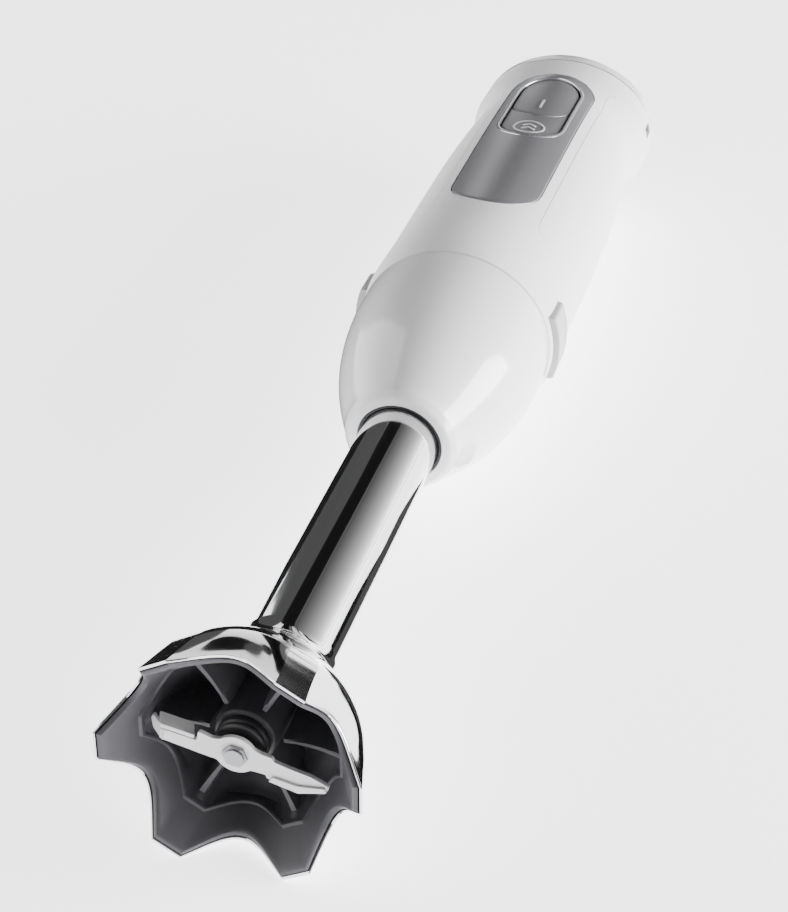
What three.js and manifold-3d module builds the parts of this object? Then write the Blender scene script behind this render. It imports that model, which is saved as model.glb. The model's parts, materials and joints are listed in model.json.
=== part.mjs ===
// Immersion blender with a pull-off blending shaft, in millimetres.
// It lies on its back: X to the right, Y from the foot to the top of the handle, Z up (the button side).
// Every piece is first placed in the axis frame: its Y axis is the drive axis, and y = 0 is the plane of
// the six foot tips. Angles go round the drive axis from +Z (the button side) towards +X.
import * as THREE from 'three';
import { mergeVertices } from 'three/addons/utils/BufferGeometryUtils.js';
import Module from 'manifold-3d';

const wasm = await Module();
wasm.setup();

// ---------------------------------------------------------------- driving dimensions
const DEG = Math.PI / 180;
const GAP = 0.3; // clearance between neighbouring pieces
const OVERALL_LENGTH = 366;

// bell and liner
const BELL_RADIUS = 34.8;
const LOBE_COUNT = 6;
const LOBE_HALF_ANGLE = 7 * DEG;
const PANEL_STEPS = 4; // facets across one scallop
const SCALLOP_HEIGHT = 8.5;
const BELL_SHEET = 0.8;
const BELL_TOP = 47;
const FLAT_SHARE = 0.45; // share of the bell's height over which its flat panels turn round
const LINER_CLEARANCE = 0.5;
const LINER_RIM_INSET = 0.3;
const LINER_RIM_WALL = 1.9;
const LINER_CEILING = 30;
const BOSS_RADIUS = 8;
const BOSS_END = 14;
const CREASE = { radius: 26, y: 11, rise: 6 }; // where the liner's sloping wall turns in
const SHAFT_BORE = 3.2;
const BUSH_SEAT = 36;

// blending shaft
const TUBE_RADIUS = 11.7;
const TUBE_WALL = 0.8;
const TUBE_START = 43;
const TUBE_END = 181;
const CONE_START = 146.2;
const SEAM = 206; // where the cone meets the motor unit
const DRIVE_SHAFT_RADIUS = 2.5;
const BLADE_PLANE = 7;
const BLADE_REACH = 24.5;
const BLADE_SHEET = 1.4;
const BLADE_TURN = 10 * DEG;

// handle
const SHELL_START = SEAM + 0.4;
const SHELL_WALL = 3;
const CAP_SEAM = 356;
const PANEL_HALF_ANGLE = Math.PI / LOBE_COUNT - LOBE_HALF_ANGLE;
const REST_LEVEL = BELL_RADIUS * Math.cos(PANEL_HALF_ANGLE); // axis above the table: two lobes touch it
const GRIP = { start: 229, end: 347, edgeReach: 17.6, corner: 80 * DEG, lowerCurve: 13, upperCurve: 8 };
const PANEL = { start: 241, end: 342.2, halfWidth: 14.5, archRise: 10.5, thickness: 1.8 };
const BUTTONS = { start: 290.6, split: 306.7, end: 338, halfWidth: 10.1, floor: 21.6, sink: 0.5 };
const STEMS = { speed: 321, turbo: 298.5 }; // where each key stands on its switch
const RELEASE = { start: 208.5, end: 219, halfWidth: 10.8, inner: 28.9, outer: 32.8 };
const RELEASE_MIDDLE = (RELEASE.start + RELEASE.end) / 2;

// motor
const STATOR = { start: 234, end: 262, radius: 23, bore: 14.2 };
const ARMATURE_RADIUS = 13.6;
const MOTOR_SHAFT_RADIUS = 3;

// ---------------------------------------------------------------- geometry helpers
function cleaned(geometry) {
  const bare = new THREE.BufferGeometry();
  bare.setAttribute('position', geometry.getAttribute('position').clone());
  if (geometry.index) {
    bare.setIndex(geometry.index.clone());
  }
  const merged = mergeVertices(bare, 1e-4);
  const position = merged.getAttribute('position');
  const kept = [];
  let volume = 0;
  const [a, b, c] = [new THREE.Vector3(), new THREE.Vector3(), new THREE.Vector3()];
  for (let i = 0; i < merged.index.count; i += 3) {
    const [i0, i1, i2] = [0, 1, 2].map((k) => merged.index.getX(i + k));
    if (i0 === i1 || i1 === i2 || i2 === i0) {
      continue;
    }
    kept.push(i0, i1, i2);
    a.fromBufferAttribute(position, i0);
    b.fromBufferAttribute(position, i1);
    c.fromBufferAttribute(position, i2);
    volume += a.dot(b.cross(c));
  }
  merged.setIndex(volume < 0 ? kept.reverse() : kept);
  return merged;
}

function solidOf(geometry) {
  const closed = cleaned(geometry);
  const vertProperties = new Float32Array(closed.getAttribute('position').array);
  const triVerts = new Uint32Array(closed.index.array);
  return new wasm.Manifold(new wasm.Mesh({ numProp: 3, vertProperties, triVerts }));
}

function geometryOf(solid) {
  const mesh = solid.getMesh();
  const geometry = new THREE.BufferGeometry();
  geometry.setAttribute('position', new THREE.BufferAttribute(new Float32Array(mesh.vertProperties), 3));
  geometry.setIndex(Array.from(mesh.triVerts));
  return geometry;
}

function joined(...geometries) {
  return geometryOf(geometries.map(solidOf).reduce((all, next) => all.add(next)));
}

function cut(geometry, ...tools) {
  return geometryOf(tools.map(solidOf).reduce((rest, tool) => rest.subtract(tool), solidOf(geometry)));
}

function common(first, second) {
  return geometryOf(solidOf(first).intersect(solidOf(second)));
}

// A solid of revolution about the drive axis; the profile is a list of [radius, y].
function revolved(profile, segments = 32) {
  return new THREE.LatheGeometry(profile.map(([radius, y]) => new THREE.Vector2(radius, y)), segments);
}

function rod(radius, start, end, segments = 20) {
  return revolved([[0, start], [radius, start], [radius, end], [0, end]], segments);
}

function sleeve(outer, inner, start, end, segments = 32) {
  const profile = [[inner, start], [outer, start], [outer, end], [inner, end], [inner, start]];
  return revolved(profile, segments);
}

function block(width, length, height, x, y, z) {
  return new THREE.BoxGeometry(width, length, height).translate(x, y, z);
}

function extruded(shape, depth, curveSegments = 8) {
  return new THREE.ExtrudeGeometry(shape, { depth, bevelEnabled: false, steps: 1, curveSegments });
}

// Extrusions of an outline drawn in (X, Y), (Y, Z) or round the drive axis.
function alongZ(shape, low, high, curveSegments) {
  return extruded(shape, high - low, curveSegments).translate(0, 0, low);
}

function alongX(shape, left, right, curveSegments) {
  const turn = new THREE.Matrix4().makeBasis(
    new THREE.Vector3(0, 1, 0), new THREE.Vector3(0, 0, 1), new THREE.Vector3(1, 0, 0));
  return extruded(shape, right - left, curveSegments).applyMatrix4(turn).translate(left, 0, 0);
}

function alongY(shape, start, end, curveSegments) {
  return extruded(shape, end - start, curveSegments).rotateX(-Math.PI / 2).translate(0, start, 0);
}

// Part of a ring, centred on the angle middle and reaching halfAngle to each side.
function ringPart(inner, outer, middle, halfAngle, start, end, curveSegments = 8) {
  const from = middle - halfAngle - Math.PI / 2;
  const to = middle + halfAngle - Math.PI / 2;
  const shape = new THREE.Shape();
  shape.absarc(0, 0, outer, from, to, false);
  shape.absarc(0, 0, inner, to, from, true);
  shape.closePath();
  return alongY(shape, start, end, curveSegments);
}

// Skins rings of equal point counts; closed joins the last ring to the first, else the ends are capped.
function lofted(rings, closed) {
  const count = rings[0].length;
  const points = rings.flat();
  const index = [];
  const spans = closed ? rings.length : rings.length - 1;
  for (let ring = 0; ring < spans; ring += 1) {
    const low = ring * count;
    const high = ((ring + 1) % rings.length) * count;
    for (let i = 0; i < count; i += 1) {
      const next = (i + 1) % count;
      index.push(low + i, low + next, high + next, low + i, high + next, high + i);
    }
  }
  if (!closed) {
    for (const [first, flip] of [[0, true], [(rings.length - 1) * count, false]]) {
      const centre = new THREE.Vector3();
      points.slice(first, first + count).forEach((point) => centre.add(point));
      points.push(centre.divideScalar(count));
      for (let i = 0; i < count; i += 1) {
        const pair = [first + i, first + ((i + 1) % count)];
        index.push(...(flip ? pair.reverse() : pair), points.length - 1);
      }
    }
  }
  const geometry = new THREE.BufferGeometry();
  geometry.setAttribute('position', new THREE.Float32BufferAttribute(points.flatMap((p) => p.toArray()), 3));
  geometry.setIndex(index);
  return geometry;
}

function polar(radius, angle, y) {
  return new THREE.Vector3(radius * Math.sin(angle), y, radius * Math.cos(angle));
}

// Linear reading of a table of [y, value].
function reading(table, y) {
  const last = table.length - 1;
  const at = Math.min(Math.max(table.findIndex(([start]) => start > y), 1), last);
  const high = y >= table[last][0] ? last : at;
  const [y0, v0] = table[high - 1];
  const [y1, v1] = table[high];
  return v0 + (v1 - v0) * THREE.MathUtils.clamp((y - y0) / (y1 - y0), 0, 1);
}

// ---------------------------------------------------------------- materials
function finish(color, roughness, metalness) {
  return new THREE.MeshStandardMaterial({ color, roughness, metalness });
}

const WHITE_GLOSS = finish(0xf1f1f2, 0.18, 0);
const WHITE_SOFT = finish(0xeeeeef, 0.55, 0);
const PALE_GREY = finish(0xd4d4d6, 0.35, 0);
const PANEL_GREY = finish(0x8b8a8f, 0.35, 0.6);
const BUTTON_GREY = finish(0x737277, 0.4, 0.4);
const MIRROR_STEEL = finish(0xd6d6d8, 0.06, 1);
const BLADE_STEEL = finish(0xe0e0e4, 0.22, 1);
const CHARCOAL = finish(0x46444a, 0.55, 0);
const BLACK_RUBBER = finish(0x161618, 0.6, 0);
const DARK_PLASTIC = finish(0x2a2a2c, 0.5, 0);
const IRON = finish(0x5b5c60, 0.45, 0.9);
const COPPER = finish(0xb4673a, 0.35, 0.9);
const BRONZE = finish(0x9c7a45, 0.4, 0.9);
const CARBON = finish(0x1d1d1f, 0.7, 0);
const BOARD_GREEN = finish(0x2f6b3d, 0.5, 0);
const ZINC = finish(0xb9bbc0, 0.35, 1);

// ---------------------------------------------------------------- bell, liner and foot
const BELL_PROFILE = [
  [0, BELL_RADIUS], [5, 33.4], [11, 31.8], [18, 29.6], [24, 26.4], [30, 21.8],
  [36, 16.6], [40, 13.8], [43, 12.9], [BELL_TOP, 12.7],
];

// Angles of one ring: two corners at each lobe, then the steps across the flat panel to the next lobe.
// arch rises from 0 at a lobe to 1 in mid panel, and chord is the flat panel's radius over its corners'.
function bellAngles() {
  const angles = [];
  for (let lobe = 0; lobe < LOBE_COUNT; lobe += 1) {
    const middle = ((lobe + 1) * 2 * Math.PI) / LOBE_COUNT;
    for (let step = 0; step <= PANEL_STEPS; step += 1) {
      const part = step / PANEL_STEPS;
      const offset = (2 * part - 1) * PANEL_HALF_ANGLE;
      const chord = Math.cos(PANEL_HALF_ANGLE) / Math.cos(offset);
      angles.push({ angle: middle + offset, arch: Math.sin(Math.PI * part), chord });
    }
  }
  return angles;
}

// A point of the bell's surface, part of the way from its rim to its top and inset under the skin.
function bellPoint({ angle, arch, chord }, part, inset, rimLift = 0) {
  const rim = SCALLOP_HEIGHT * arch + rimLift;
  const y = rim + (BELL_TOP - rim) * part;
  const slope = reading(BELL_PROFILE, y + 0.5) - reading(BELL_PROFILE, y - 0.5);
  const length = Math.hypot(1, slope);
  const flatness = chord ** (1 - THREE.MathUtils.smoothstep(part, 0, FLAT_SHARE));
  const radius = reading(BELL_PROFILE, y) * flatness - inset / length;
  return polar(radius, angle, y + (part > 0 ? (inset * slope) / length : 0));
}

function bellHousing() {
  const angles = bellAngles();
  const parts = [0, 0.22, 0.4, 0.55, 0.7, 0.85, 1];
  const outside = parts.map((part) => angles.map((at) => bellPoint(at, part, 0)));
  const inside = parts.map((part) => angles.map((at) => bellPoint(at, part, BELL_SHEET))).reverse();
  return lofted([...outside, ...inside], true);
}

function bellLiner() {
  const angles = bellAngles();
  const inset = BELL_SHEET + LINER_CLEARANCE;
  const outside = [0, 0.22, 0.4, 0.55, 0.7].map(
    (part) => angles.map((at) => bellPoint(at, part, inset, LINER_RIM_INSET)));
  const circle = (radius, y) => angles.map(({ angle }) => polar(radius, angle, y));
  const rim = angles.map((at) => bellPoint(at, 0, inset + LINER_RIM_WALL, LINER_RIM_INSET));
  const crease = angles.map(
    ({ angle, arch, chord }) => polar(CREASE.radius * chord, angle, CREASE.y + CREASE.rise * arch));
  return lofted([
    ...outside,
    circle(11, 40), circle(11, BUSH_SEAT), circle(SHAFT_BORE, BUSH_SEAT),
    circle(SHAFT_BORE, BOSS_END), circle(BOSS_RADIUS, BOSS_END), circle(BOSS_RADIUS + 0.6, LINER_CEILING),
    circle(16, LINER_CEILING - 1.5), crease, rim,
  ], true);
}

function shaftSeal() {
  return revolved([
    [3, 10.2], [6.4, 10.2], [6.9, 10.8], [6.9, 11.6], [6.3, 11.9], [6.9, 12.2], [6.9, 13.7], [3, 13.7], [3, 10.2],
  ], 24);
}

// ---------------------------------------------------------------- blade and drive shaft
function bladeOutline() {
  const tip = BLADE_REACH;
  const shape = new THREE.Shape();
  shape.moveTo(6.2, 4.2);
  shape.absarc(0, 0, 7.5, 34 * DEG, 146 * DEG, false);
  shape.lineTo(-8.5, 2.4);
  shape.lineTo(-19, 2.9);
  shape.lineTo(-19, -2.6);
  shape.lineTo(-8, -3.4);
  shape.absarc(0, 0, 7.5, 214 * DEG, 326 * DEG, false);
  shape.lineTo(8.5, -2.4);
  shape.lineTo(14, -3.4);
  shape.lineTo(tip - 1.5, -3.4);
  shape.lineTo(tip, -1.6);
  shape.lineTo(16.5, 3.2);
  shape.lineTo(8, 3.4);
  return shape;
}

// The blade is drawn in (X, Z) and then turned; shape Y is minus Z.
function blade() {
  const plate = alongY(bladeOutline(), BLADE_PLANE, BLADE_PLANE + BLADE_SHEET, 6);
  const cupFloor = block(7.2, BLADE_SHEET, 5.4, 0, 0, 0).rotateZ(-38 * DEG).translate(-21, 10, -0.1);
  const cupWall = block(7, 5, 1.3, -15.5, BLADE_PLANE + 2.9, -3.4);
  const flap = block(8.5, 4.4, 1.3, 17.8, BLADE_PLANE + 2.6, 3.1);
  const hub = rod(5.2, BLADE_PLANE - 0.6, BLADE_PLANE + 2.4, 20);
  const bore = rod(DRIVE_SHAFT_RADIUS + GAP, 0, 20, 12);
  return cut(joined(plate, cupFloor, cupWall, flap, hub), bore).rotateY(BLADE_TURN);
}

function driveShaft() {
  return rod(DRIVE_SHAFT_RADIUS, 5.6, 189.7, 12);
}

function bladeNut() {
  return cut(rod(4.3, 3.9, 6.1, 6), rod(DRIVE_SHAFT_RADIUS + GAP, 0, 10, 12));
}

function crossShape(reach, halfWidth) {
  const shape = new THREE.Shape();
  const corners = [
    [halfWidth, reach], [halfWidth, halfWidth], [reach, halfWidth], [reach, -halfWidth],
    [halfWidth, -halfWidth], [halfWidth, -reach], [-halfWidth, -reach], [-halfWidth, -halfWidth],
    [-reach, -halfWidth], [-reach, halfWidth], [-halfWidth, halfWidth], [-halfWidth, reach],
  ];
  shape.setFromPoints(corners.map(([x, y]) => new THREE.Vector2(x, y)));
  return shape;
}

function driveSocket() {
  return cut(rod(7.2, 190, 202, 24), alongY(crossShape(5.6, 1.9), 193, 203));
}

function driveCoupling() {
  const cross = alongY(crossShape(5, 1.3), 194, 203.2);
  const hub = rod(6.6, 202.8, 211, 24);
  return cut(joined(cross, hub), rod(MOTOR_SHAFT_RADIUS + GAP, 205, 212, 16));
}

// ---------------------------------------------------------------- blending shaft
function steelTube() {
  return sleeve(TUBE_RADIUS, TUBE_RADIUS - TUBE_WALL, TUBE_START, TUBE_END, 28);
}

function tubeRing() {
  return sleeve(TUBE_RADIUS + 0.9, TUBE_RADIUS + GAP, CONE_START + 0.5, CONE_START + 4, 28);
}

function couplingCone() {
  const bore = TUBE_RADIUS + 0.9 + GAP;
  return revolved([
    [bore, 147.4], [13.6, CONE_START + 0.2], [15.2, CONE_START], [16.4, 147.4], [17.6, 150.6], [19.9, 155],
    [23, 162], [25.9, 170], [28.4, 180], [29.8, 190], [30.2, SEAM],
    [27.6, SEAM], [27.2, 190.5], [25.7, 181], [23.2, 171.6], [20.4, 163.8], [17.8, 158],
    [15.8, 155], [15.2, 163], [bore, 163], [bore, 147.4],
  ], 32);
}

function bearingCarrier() {
  return revolved([
    [12, 170], [14.6, 170], [14.6, 183.2], [25.4, 183.2], [25.4, 186], [7.4, 186],
    [7.4, 181.4], [12, 181.4], [12, 170],
  ], 28);
}

function catchRing() {
  return sleeve(27, 25.8, 196, 198.4, 28);
}

function bush(outer, start, end) {
  return sleeve(outer, DRIVE_SHAFT_RADIUS + GAP, start, end, 16);
}

// ---------------------------------------------------------------- handle surface
// Half height of the front, half width, and half height of the back along the handle, as [y, value].
const FRONT_REACH = [
  [SHELL_START, 29.9], [208, 30.9], [215, 31.3], [225, 30.7], [236, 29.8], [250, 29.3],
  [270, 28.9], [290, 28.6], [304, 28.2], [318, 27.7], [331, 27], [337, 26.6], [341, 26.3],
  [345, 25.9], [349, 25.6], [CAP_SEAM, 25.2],
];
const SIDE_REACH = [
  [SHELL_START, 30.1], [208, 30.9], [215, 31.3], [225, 31.1], [236, 31], [250, 31],
  [270, 30.8], [290, 30.5], [304, 29.9], [318, 29], [331, 27.6], [337, 28.1], [341, 30],
  [345, 31.1], [349, 31.2], [CAP_SEAM, 31],
];
const BACK_REACH = [
  [SHELL_START, 29.9], [208, 30.9], [215, 31.3], [225, 31.3], [236, 31.5], [250, 32.2],
  [262, 33.2], [290, 33.2], [304, 31.2], [318, 28], [331, 24.2], [337, 22.8], [341, 22.8],
  [345, 23.4], [349, 23], [CAP_SEAM, 21.6],
];
const HANDLE_STATIONS = BACK_REACH.map(([y]) => y);
const HANDLE_SEGMENTS = 36;

// An oval section, cut flat where the palm swell rests on the table.
function handleRadius(y, angle, inset) {
  const upright = Math.cos(angle);
  const height = reading(upright > 0 ? FRONT_REACH : BACK_REACH, y);
  const radius = 1 / Math.hypot(Math.sin(angle) / reading(SIDE_REACH, y), upright / height);
  const toRest = upright < -0.5 ? -REST_LEVEL / upright : Infinity;
  return Math.min(radius, toRest) - inset;
}

function handleRing(y, inset, scale = 1, surfaceY = y) {
  return Array.from({ length: HANDLE_SEGMENTS }, (_, i) => {
    const angle = (i * 2 * Math.PI) / HANDLE_SEGMENTS;
    return polar(handleRadius(surfaceY, angle, inset) * scale, angle, y);
  });
}

function handleStations(start, end) {
  return [start, ...HANDLE_STATIONS.filter((y) => y > start + 0.5 && y < end - 0.5), end];
}

// The solid inside the handle's surface, drawn in by inset.
function handleSolid(inset, start, end) {
  return lofted(handleStations(start, end).map((y) => handleRing(y, inset)), false);
}

function handleTube() {
  const outside = handleStations(SHELL_START, CAP_SEAM).map((y) => handleRing(y, 0));
  const inside = handleStations(SHELL_START, CAP_SEAM).map((y) => handleRing(y, SHELL_WALL)).reverse();
  return lofted([...outside, ...inside], true);
}

// Angle of the grip's edge: straight along the handle, then curving away like a quarter circle at both ends.
function gripEdge(y) {
  const lower = (GRIP.start + GRIP.lowerCurve - y) / GRIP.lowerCurve;
  const upper = (y - GRIP.end + GRIP.upperCurve) / GRIP.upperCurve;
  const part = THREE.MathUtils.clamp(Math.max(lower, upper, 0), 0, 1);
  const straight = Math.asin(GRIP.edgeReach / handleRadius(y, 38 * DEG, 0));
  return straight + (GRIP.corner - straight) * (1 - Math.sqrt(1 - part * part));
}

// The space that the rear grip takes out of the handle, out to a radius that clears it.
function gripWedge(grow) {
  const reach = 60;
  const steps = 20;
  const parts = [0, 0.03, 0.12, 0.3, 0.6, 1];
  const lower = parts.map((part) => GRIP.start + part * GRIP.lowerCurve);
  const upper = parts.map((part) => GRIP.end - part * GRIP.upperCurve).reverse();
  const rings = [...lower, ...upper].map((y, i, all) => {
    const edge = gripEdge(y) - grow / 30;
    const shift = i === 0 ? -grow : i === all.length - 1 ? grow : 0;
    const arc = Array.from({ length: steps + 1 }, (_, step) => (
      polar(reach, edge + (step / steps) * 2 * (Math.PI - edge), y + shift)));
    return [new THREE.Vector3(0, y + shift, 0), ...arc];
  });
  return lofted(rings, false);
}

// A long outline with a round bottom and an arched top.
function archedOutline({ start, end, halfWidth, archRise = halfWidth }, grow) {
  const reach = halfWidth + grow;
  const rise = archRise + grow;
  const shape = new THREE.Shape();
  shape.absellipse(0, start + halfWidth, reach, reach, Math.PI, 2 * Math.PI, false, 0);
  shape.absellipse(0, end - archRise, reach, rise, 0, Math.PI, false, 0);
  shape.closePath();
  return shape;
}

function frontShell() {
  const panelPocket = cut(
    alongZ(archedOutline(PANEL, GAP), 10, 50, 8),
    handleSolid(PANEL.thickness + GAP, SHELL_START, CAP_SEAM));
  const buttonWindow = alongZ(archedOutline(BUTTONS, 1), 10, 50, 6);
  const releaseWindow = block(
    100, RELEASE.end - RELEASE.start + 2 * GAP, 2 * (RELEASE.halfWidth + GAP), 0, RELEASE_MIDDLE, 0);
  const capLatches = [-1, 1].map((side) => block(3, 6, 3.6, side * 31.6, 350.5, 5));
  return cut(handleTube(), gripWedge(GAP), panelPocket, buttonWindow, releaseWindow, ...capLatches);
}

function rearGrip() {
  return common(handleTube(), gripWedge(0));
}

function topCap() {
  const rings = [
    handleRing(CAP_SEAM + 0.4, 0, 1, CAP_SEAM),
    handleRing(CAP_SEAM + 3.5, 0, 0.995, CAP_SEAM),
    handleRing(CAP_SEAM + 6, 0, 0.965, CAP_SEAM),
    handleRing(CAP_SEAM + 8, 0, 0.89, CAP_SEAM),
    handleRing(CAP_SEAM + 9.3, 0, 0.75, CAP_SEAM),
    handleRing(OVERALL_LENGTH, 0, 0.5, CAP_SEAM),
    handleRing(OVERALL_LENGTH - 2.5, 0, 0.48, CAP_SEAM),
    handleRing(CAP_SEAM + 6.4, 0, 0.74, CAP_SEAM),
    handleRing(CAP_SEAM + 4, 0, 0.88, CAP_SEAM),
    handleRing(CAP_SEAM + 0.4, 0, 0.91, CAP_SEAM),
  ];
  const plug = rod(12, CAP_SEAM + 7.4, OVERALL_LENGTH - 0.2, 20);
  return cut(joined(lofted(rings, true), plug), rod(5.3, CAP_SEAM - 10, OVERALL_LENGTH + 10, 16));
}

function cordGland() {
  return revolved([
    [3.7, CAP_SEAM - 1], [7.5, CAP_SEAM - 1], [7.5, CAP_SEAM + 4], [5, CAP_SEAM + 4],
    [5, OVERALL_LENGTH - 0.2], [3.7, OVERALL_LENGTH - 0.2], [3.7, CAP_SEAM - 1],
  ], 16);
}

function controlPanel() {
  const skin = cut(
    handleSolid(0, PANEL.start - 3, CAP_SEAM), handleSolid(PANEL.thickness, SHELL_START, CAP_SEAM + 5));
  return cut(common(skin, alongZ(archedOutline(PANEL, 0), 10, 50, 8)), alongZ(archedOutline(BUTTONS, 0), 10, 50, 6));
}

// The keys fill the window; the line between them is the window's round bottom moved up to split.
function keyArea(grow) {
  return alongZ(archedOutline(BUTTONS, grow), BUTTONS.floor, 40, 8);
}

function speedArea(grow) {
  return keyArea(grow).translate(0, BUTTONS.split - BUTTONS.start, 0);
}

function key(area, stemY) {
  const face = common(area, handleSolid(BUTTONS.sink, SHELL_START, CAP_SEAM));
  return joined(face, block(4, 4, 2.5, 0, stemY, BUTTONS.floor - 0.7));
}

function speedButton() {
  return key(common(keyArea(-GAP), speedArea(-GAP / 2)), STEMS.speed);
}

function turboButton() {
  return key(cut(keyArea(-GAP), speedArea(GAP / 2)), STEMS.turbo);
}

function releaseButton(side) {
  const ring = ringPart(
    RELEASE.inner, RELEASE.outer, side * 90 * DEG, 40 * DEG, RELEASE.start, RELEASE.end);
  const plate = common(ring, block(100, 20, 2 * RELEASE.halfWidth, 0, RELEASE_MIDDLE, 0));
  return joined(plate, block(3.4, 5, 8, side * 28, RELEASE_MIDDLE, 0));
}

// A coil spring about the line through centre along the direction.
function spring(centre, direction, radius, length, turns) {
  const steps = turns * 6;
  const points = Array.from({ length: steps + 1 }, (_, i) => {
    const angle = (i * 2 * Math.PI) / 6;
    return new THREE.Vector3(radius * Math.cos(angle), radius * Math.sin(angle), length * (i / steps - 0.5));
  });
  const wire = new THREE.Shape();
  wire.setFromPoints([[0.3, 0], [0, 0.3], [-0.3, 0], [0, -0.3]].map(([x, y]) => new THREE.Vector2(x, y)));
  const extrudePath = new THREE.CatmullRomCurve3(points);
  const coil = new THREE.ExtrudeGeometry(wire, { steps, bevelEnabled: false, extrudePath });
  const turn = new THREE.Quaternion().setFromUnitVectors(new THREE.Vector3(0, 0, 1), direction);
  return coil.applyQuaternion(turn).translate(centre.x, centre.y, centre.z);
}

// ---------------------------------------------------------------- inside the motor unit
const SCREW_CIRCLE = 17.5;
const SCREW_ANGLES = [60, 180, 300].map((angle) => angle * DEG);

function standOnCircle(geometry, angle) {
  return geometry.translate(SCREW_CIRCLE * Math.sin(angle), 0, SCREW_CIRCLE * Math.cos(angle));
}

function couplingSeat() {
  const cup = revolved([
    [22.6, 190.5], [24.8, 190.5], [24.8, 206.6], [26.4, 206.6], [26.4, 209.6], [8.6, 209.6],
    [8.6, 206.6], [22.6, 206.6], [22.6, 190.5],
  ], 28);
  return cut(cup, ...SCREW_ANGLES.map((angle) => standOnCircle(rod(1.5, 200, 212, 10), angle)));
}

function motorScrew(angle) {
  const screw = revolved([[0, 204.4], [2.4, 204.4], [2.4, 206.3], [1.2, 206.3], [1.2, 217.6], [0, 217.6]], 10);
  return standOnCircle(screw, angle);
}

function lowerBracket() {
  const plate = revolved([
    [8.8, 212.4], [21, 212.4], [21, 215.4], [8.8, 215.4], [8.8, 212.4],
  ], 28);
  const posts = SCREW_ANGLES.map((angle) => standOnCircle(rod(2.7, 214, 218, 10), angle));
  const holes = SCREW_ANGLES.map((angle) => standOnCircle(rod(1.5, 205, 222, 10), angle));
  return cut(joined(plate, ...posts), ...holes);
}

function upperBracket() {
  return sleeve(23, 8.8, 285, 287.6, 28);
}

function motorBearing(start) {
  return sleeve(8.5, MOTOR_SHAFT_RADIUS + GAP, start, start + 5, 16);
}

function motorDamper() {
  return sleeve(25.1, 23.3, 284.6, 288.2, 28);
}

function seatRing() {
  return sleeve(26.3, 25.1, 200.5, 203, 28);
}

function statorCore() {
  const ring = sleeve(STATOR.radius, 18.6, STATOR.start, STATOR.end, 28);
  const poles = [0, Math.PI].map((middle) => ringPart(
    STATOR.bore, 19, middle, 46 * DEG, STATOR.start, STATOR.end, 5));
  return joined(ring, ...poles);
}

function fieldCoil(middle) {
  const body = ringPart(14.6, 18.3, middle, 84 * DEG, STATOR.start - 5, STATOR.end + 5, 8);
  const window = ringPart(10, 25, middle, 48 * DEG, STATOR.start - 0.5, STATOR.end + 0.5, 5);
  return cut(body, window);
}

function armatureShaft() {
  return rod(MOTOR_SHAFT_RADIUS, 205.4, 291, 16);
}

function armatureCore() {
  return revolved([
    [3.3, 229.5], [10, 229.5], [12.4, 231.4], [12.4, 234], [ARMATURE_RADIUS, 234.3], [ARMATURE_RADIUS, 261.7],
    [12.4, 262], [12.4, 265], [9.6, 267.4], [3.3, 267.4], [3.3, 229.5],
  ], 20);
}

function commutator() {
  return sleeve(8.2, MOTOR_SHAFT_RADIUS + GAP, 268.6, 280, 20);
}

function coolingFan() {
  const disc = sleeve(21, MOTOR_SHAFT_RADIUS + GAP, 219.4, 220.8, 24);
  const blades = Array.from({ length: 9 }, (_, i) => (
    block(11, 5.2, 1.2, 14, 223, 0).rotateY((i * 2 * Math.PI) / 9)));
  const hub = sleeve(6, MOTOR_SHAFT_RADIUS + GAP, 219.4, 226.5, 12);
  return joined(disc, hub, ...blades);
}

function brushHolder(side) {
  const y = 274.3;
  return cut(block(14, 10, 9, side * 17.4, y, 0), block(20, 6.6, 5.6, side * 17.4, y, 0));
}

function carbonBrush(side) {
  return block(11, 6, 5, side * 14.3, 274.3, 0);
}

function circuitBoard() {
  const board = block(24, 44, 1.6, 0, 315, BUTTONS.floor - 9.6);
  return cut(board, ...[-1, 1].map((side) => alongZ(circleShape(side * 9.4, 335, 1.5), 5, 20, 6)));
}

function circleShape(x, y, radius) {
  const shape = new THREE.Shape();
  shape.absarc(x, y, radius, 0, 2 * Math.PI, false);
  return shape;
}

function boardScrew(side) {
  const shank = alongZ(circleShape(side * 9.4, 335, 1.1), 6, 13.4, 5);
  return joined(shank, alongZ(circleShape(side * 9.4, 335, 2.2), 13.1, 14.8, 5));
}

function microswitch(y) {
  return joined(block(10, 6.4, 4, 0, y, 15.1), block(2, 2, 1, 0, y, 17.4));
}

// ---------------------------------------------------------------- assembly
const axisFrame = new THREE.Group();
axisFrame.position.set(0, -OVERALL_LENGTH / 2, REST_LEVEL);

function piece(name, geometry, material) {
  const mesh = new THREE.Mesh(cleaned(geometry), material);
  mesh.geometry.computeVertexNormals();
  mesh.name = name;
  return mesh;
}

const SIDES = [['left', -1], ['right', 1]];
const UP = new THREE.Vector3(0, 0, 1);
const ACROSS = new THREE.Vector3(1, 0, 0);

const housing = [
  piece('front_shell', frontShell(), WHITE_GLOSS),
  piece('rear_grip', rearGrip(), WHITE_SOFT),
  piece('top_cap', topCap(), WHITE_GLOSS),
  piece('control_panel', controlPanel(), PANEL_GREY),
  piece('cord_gland', cordGland(), PALE_GREY),
  piece('coupling_seat', couplingSeat(), PALE_GREY),
  piece('seat_ring', seatRing(), BLACK_RUBBER),
];

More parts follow.
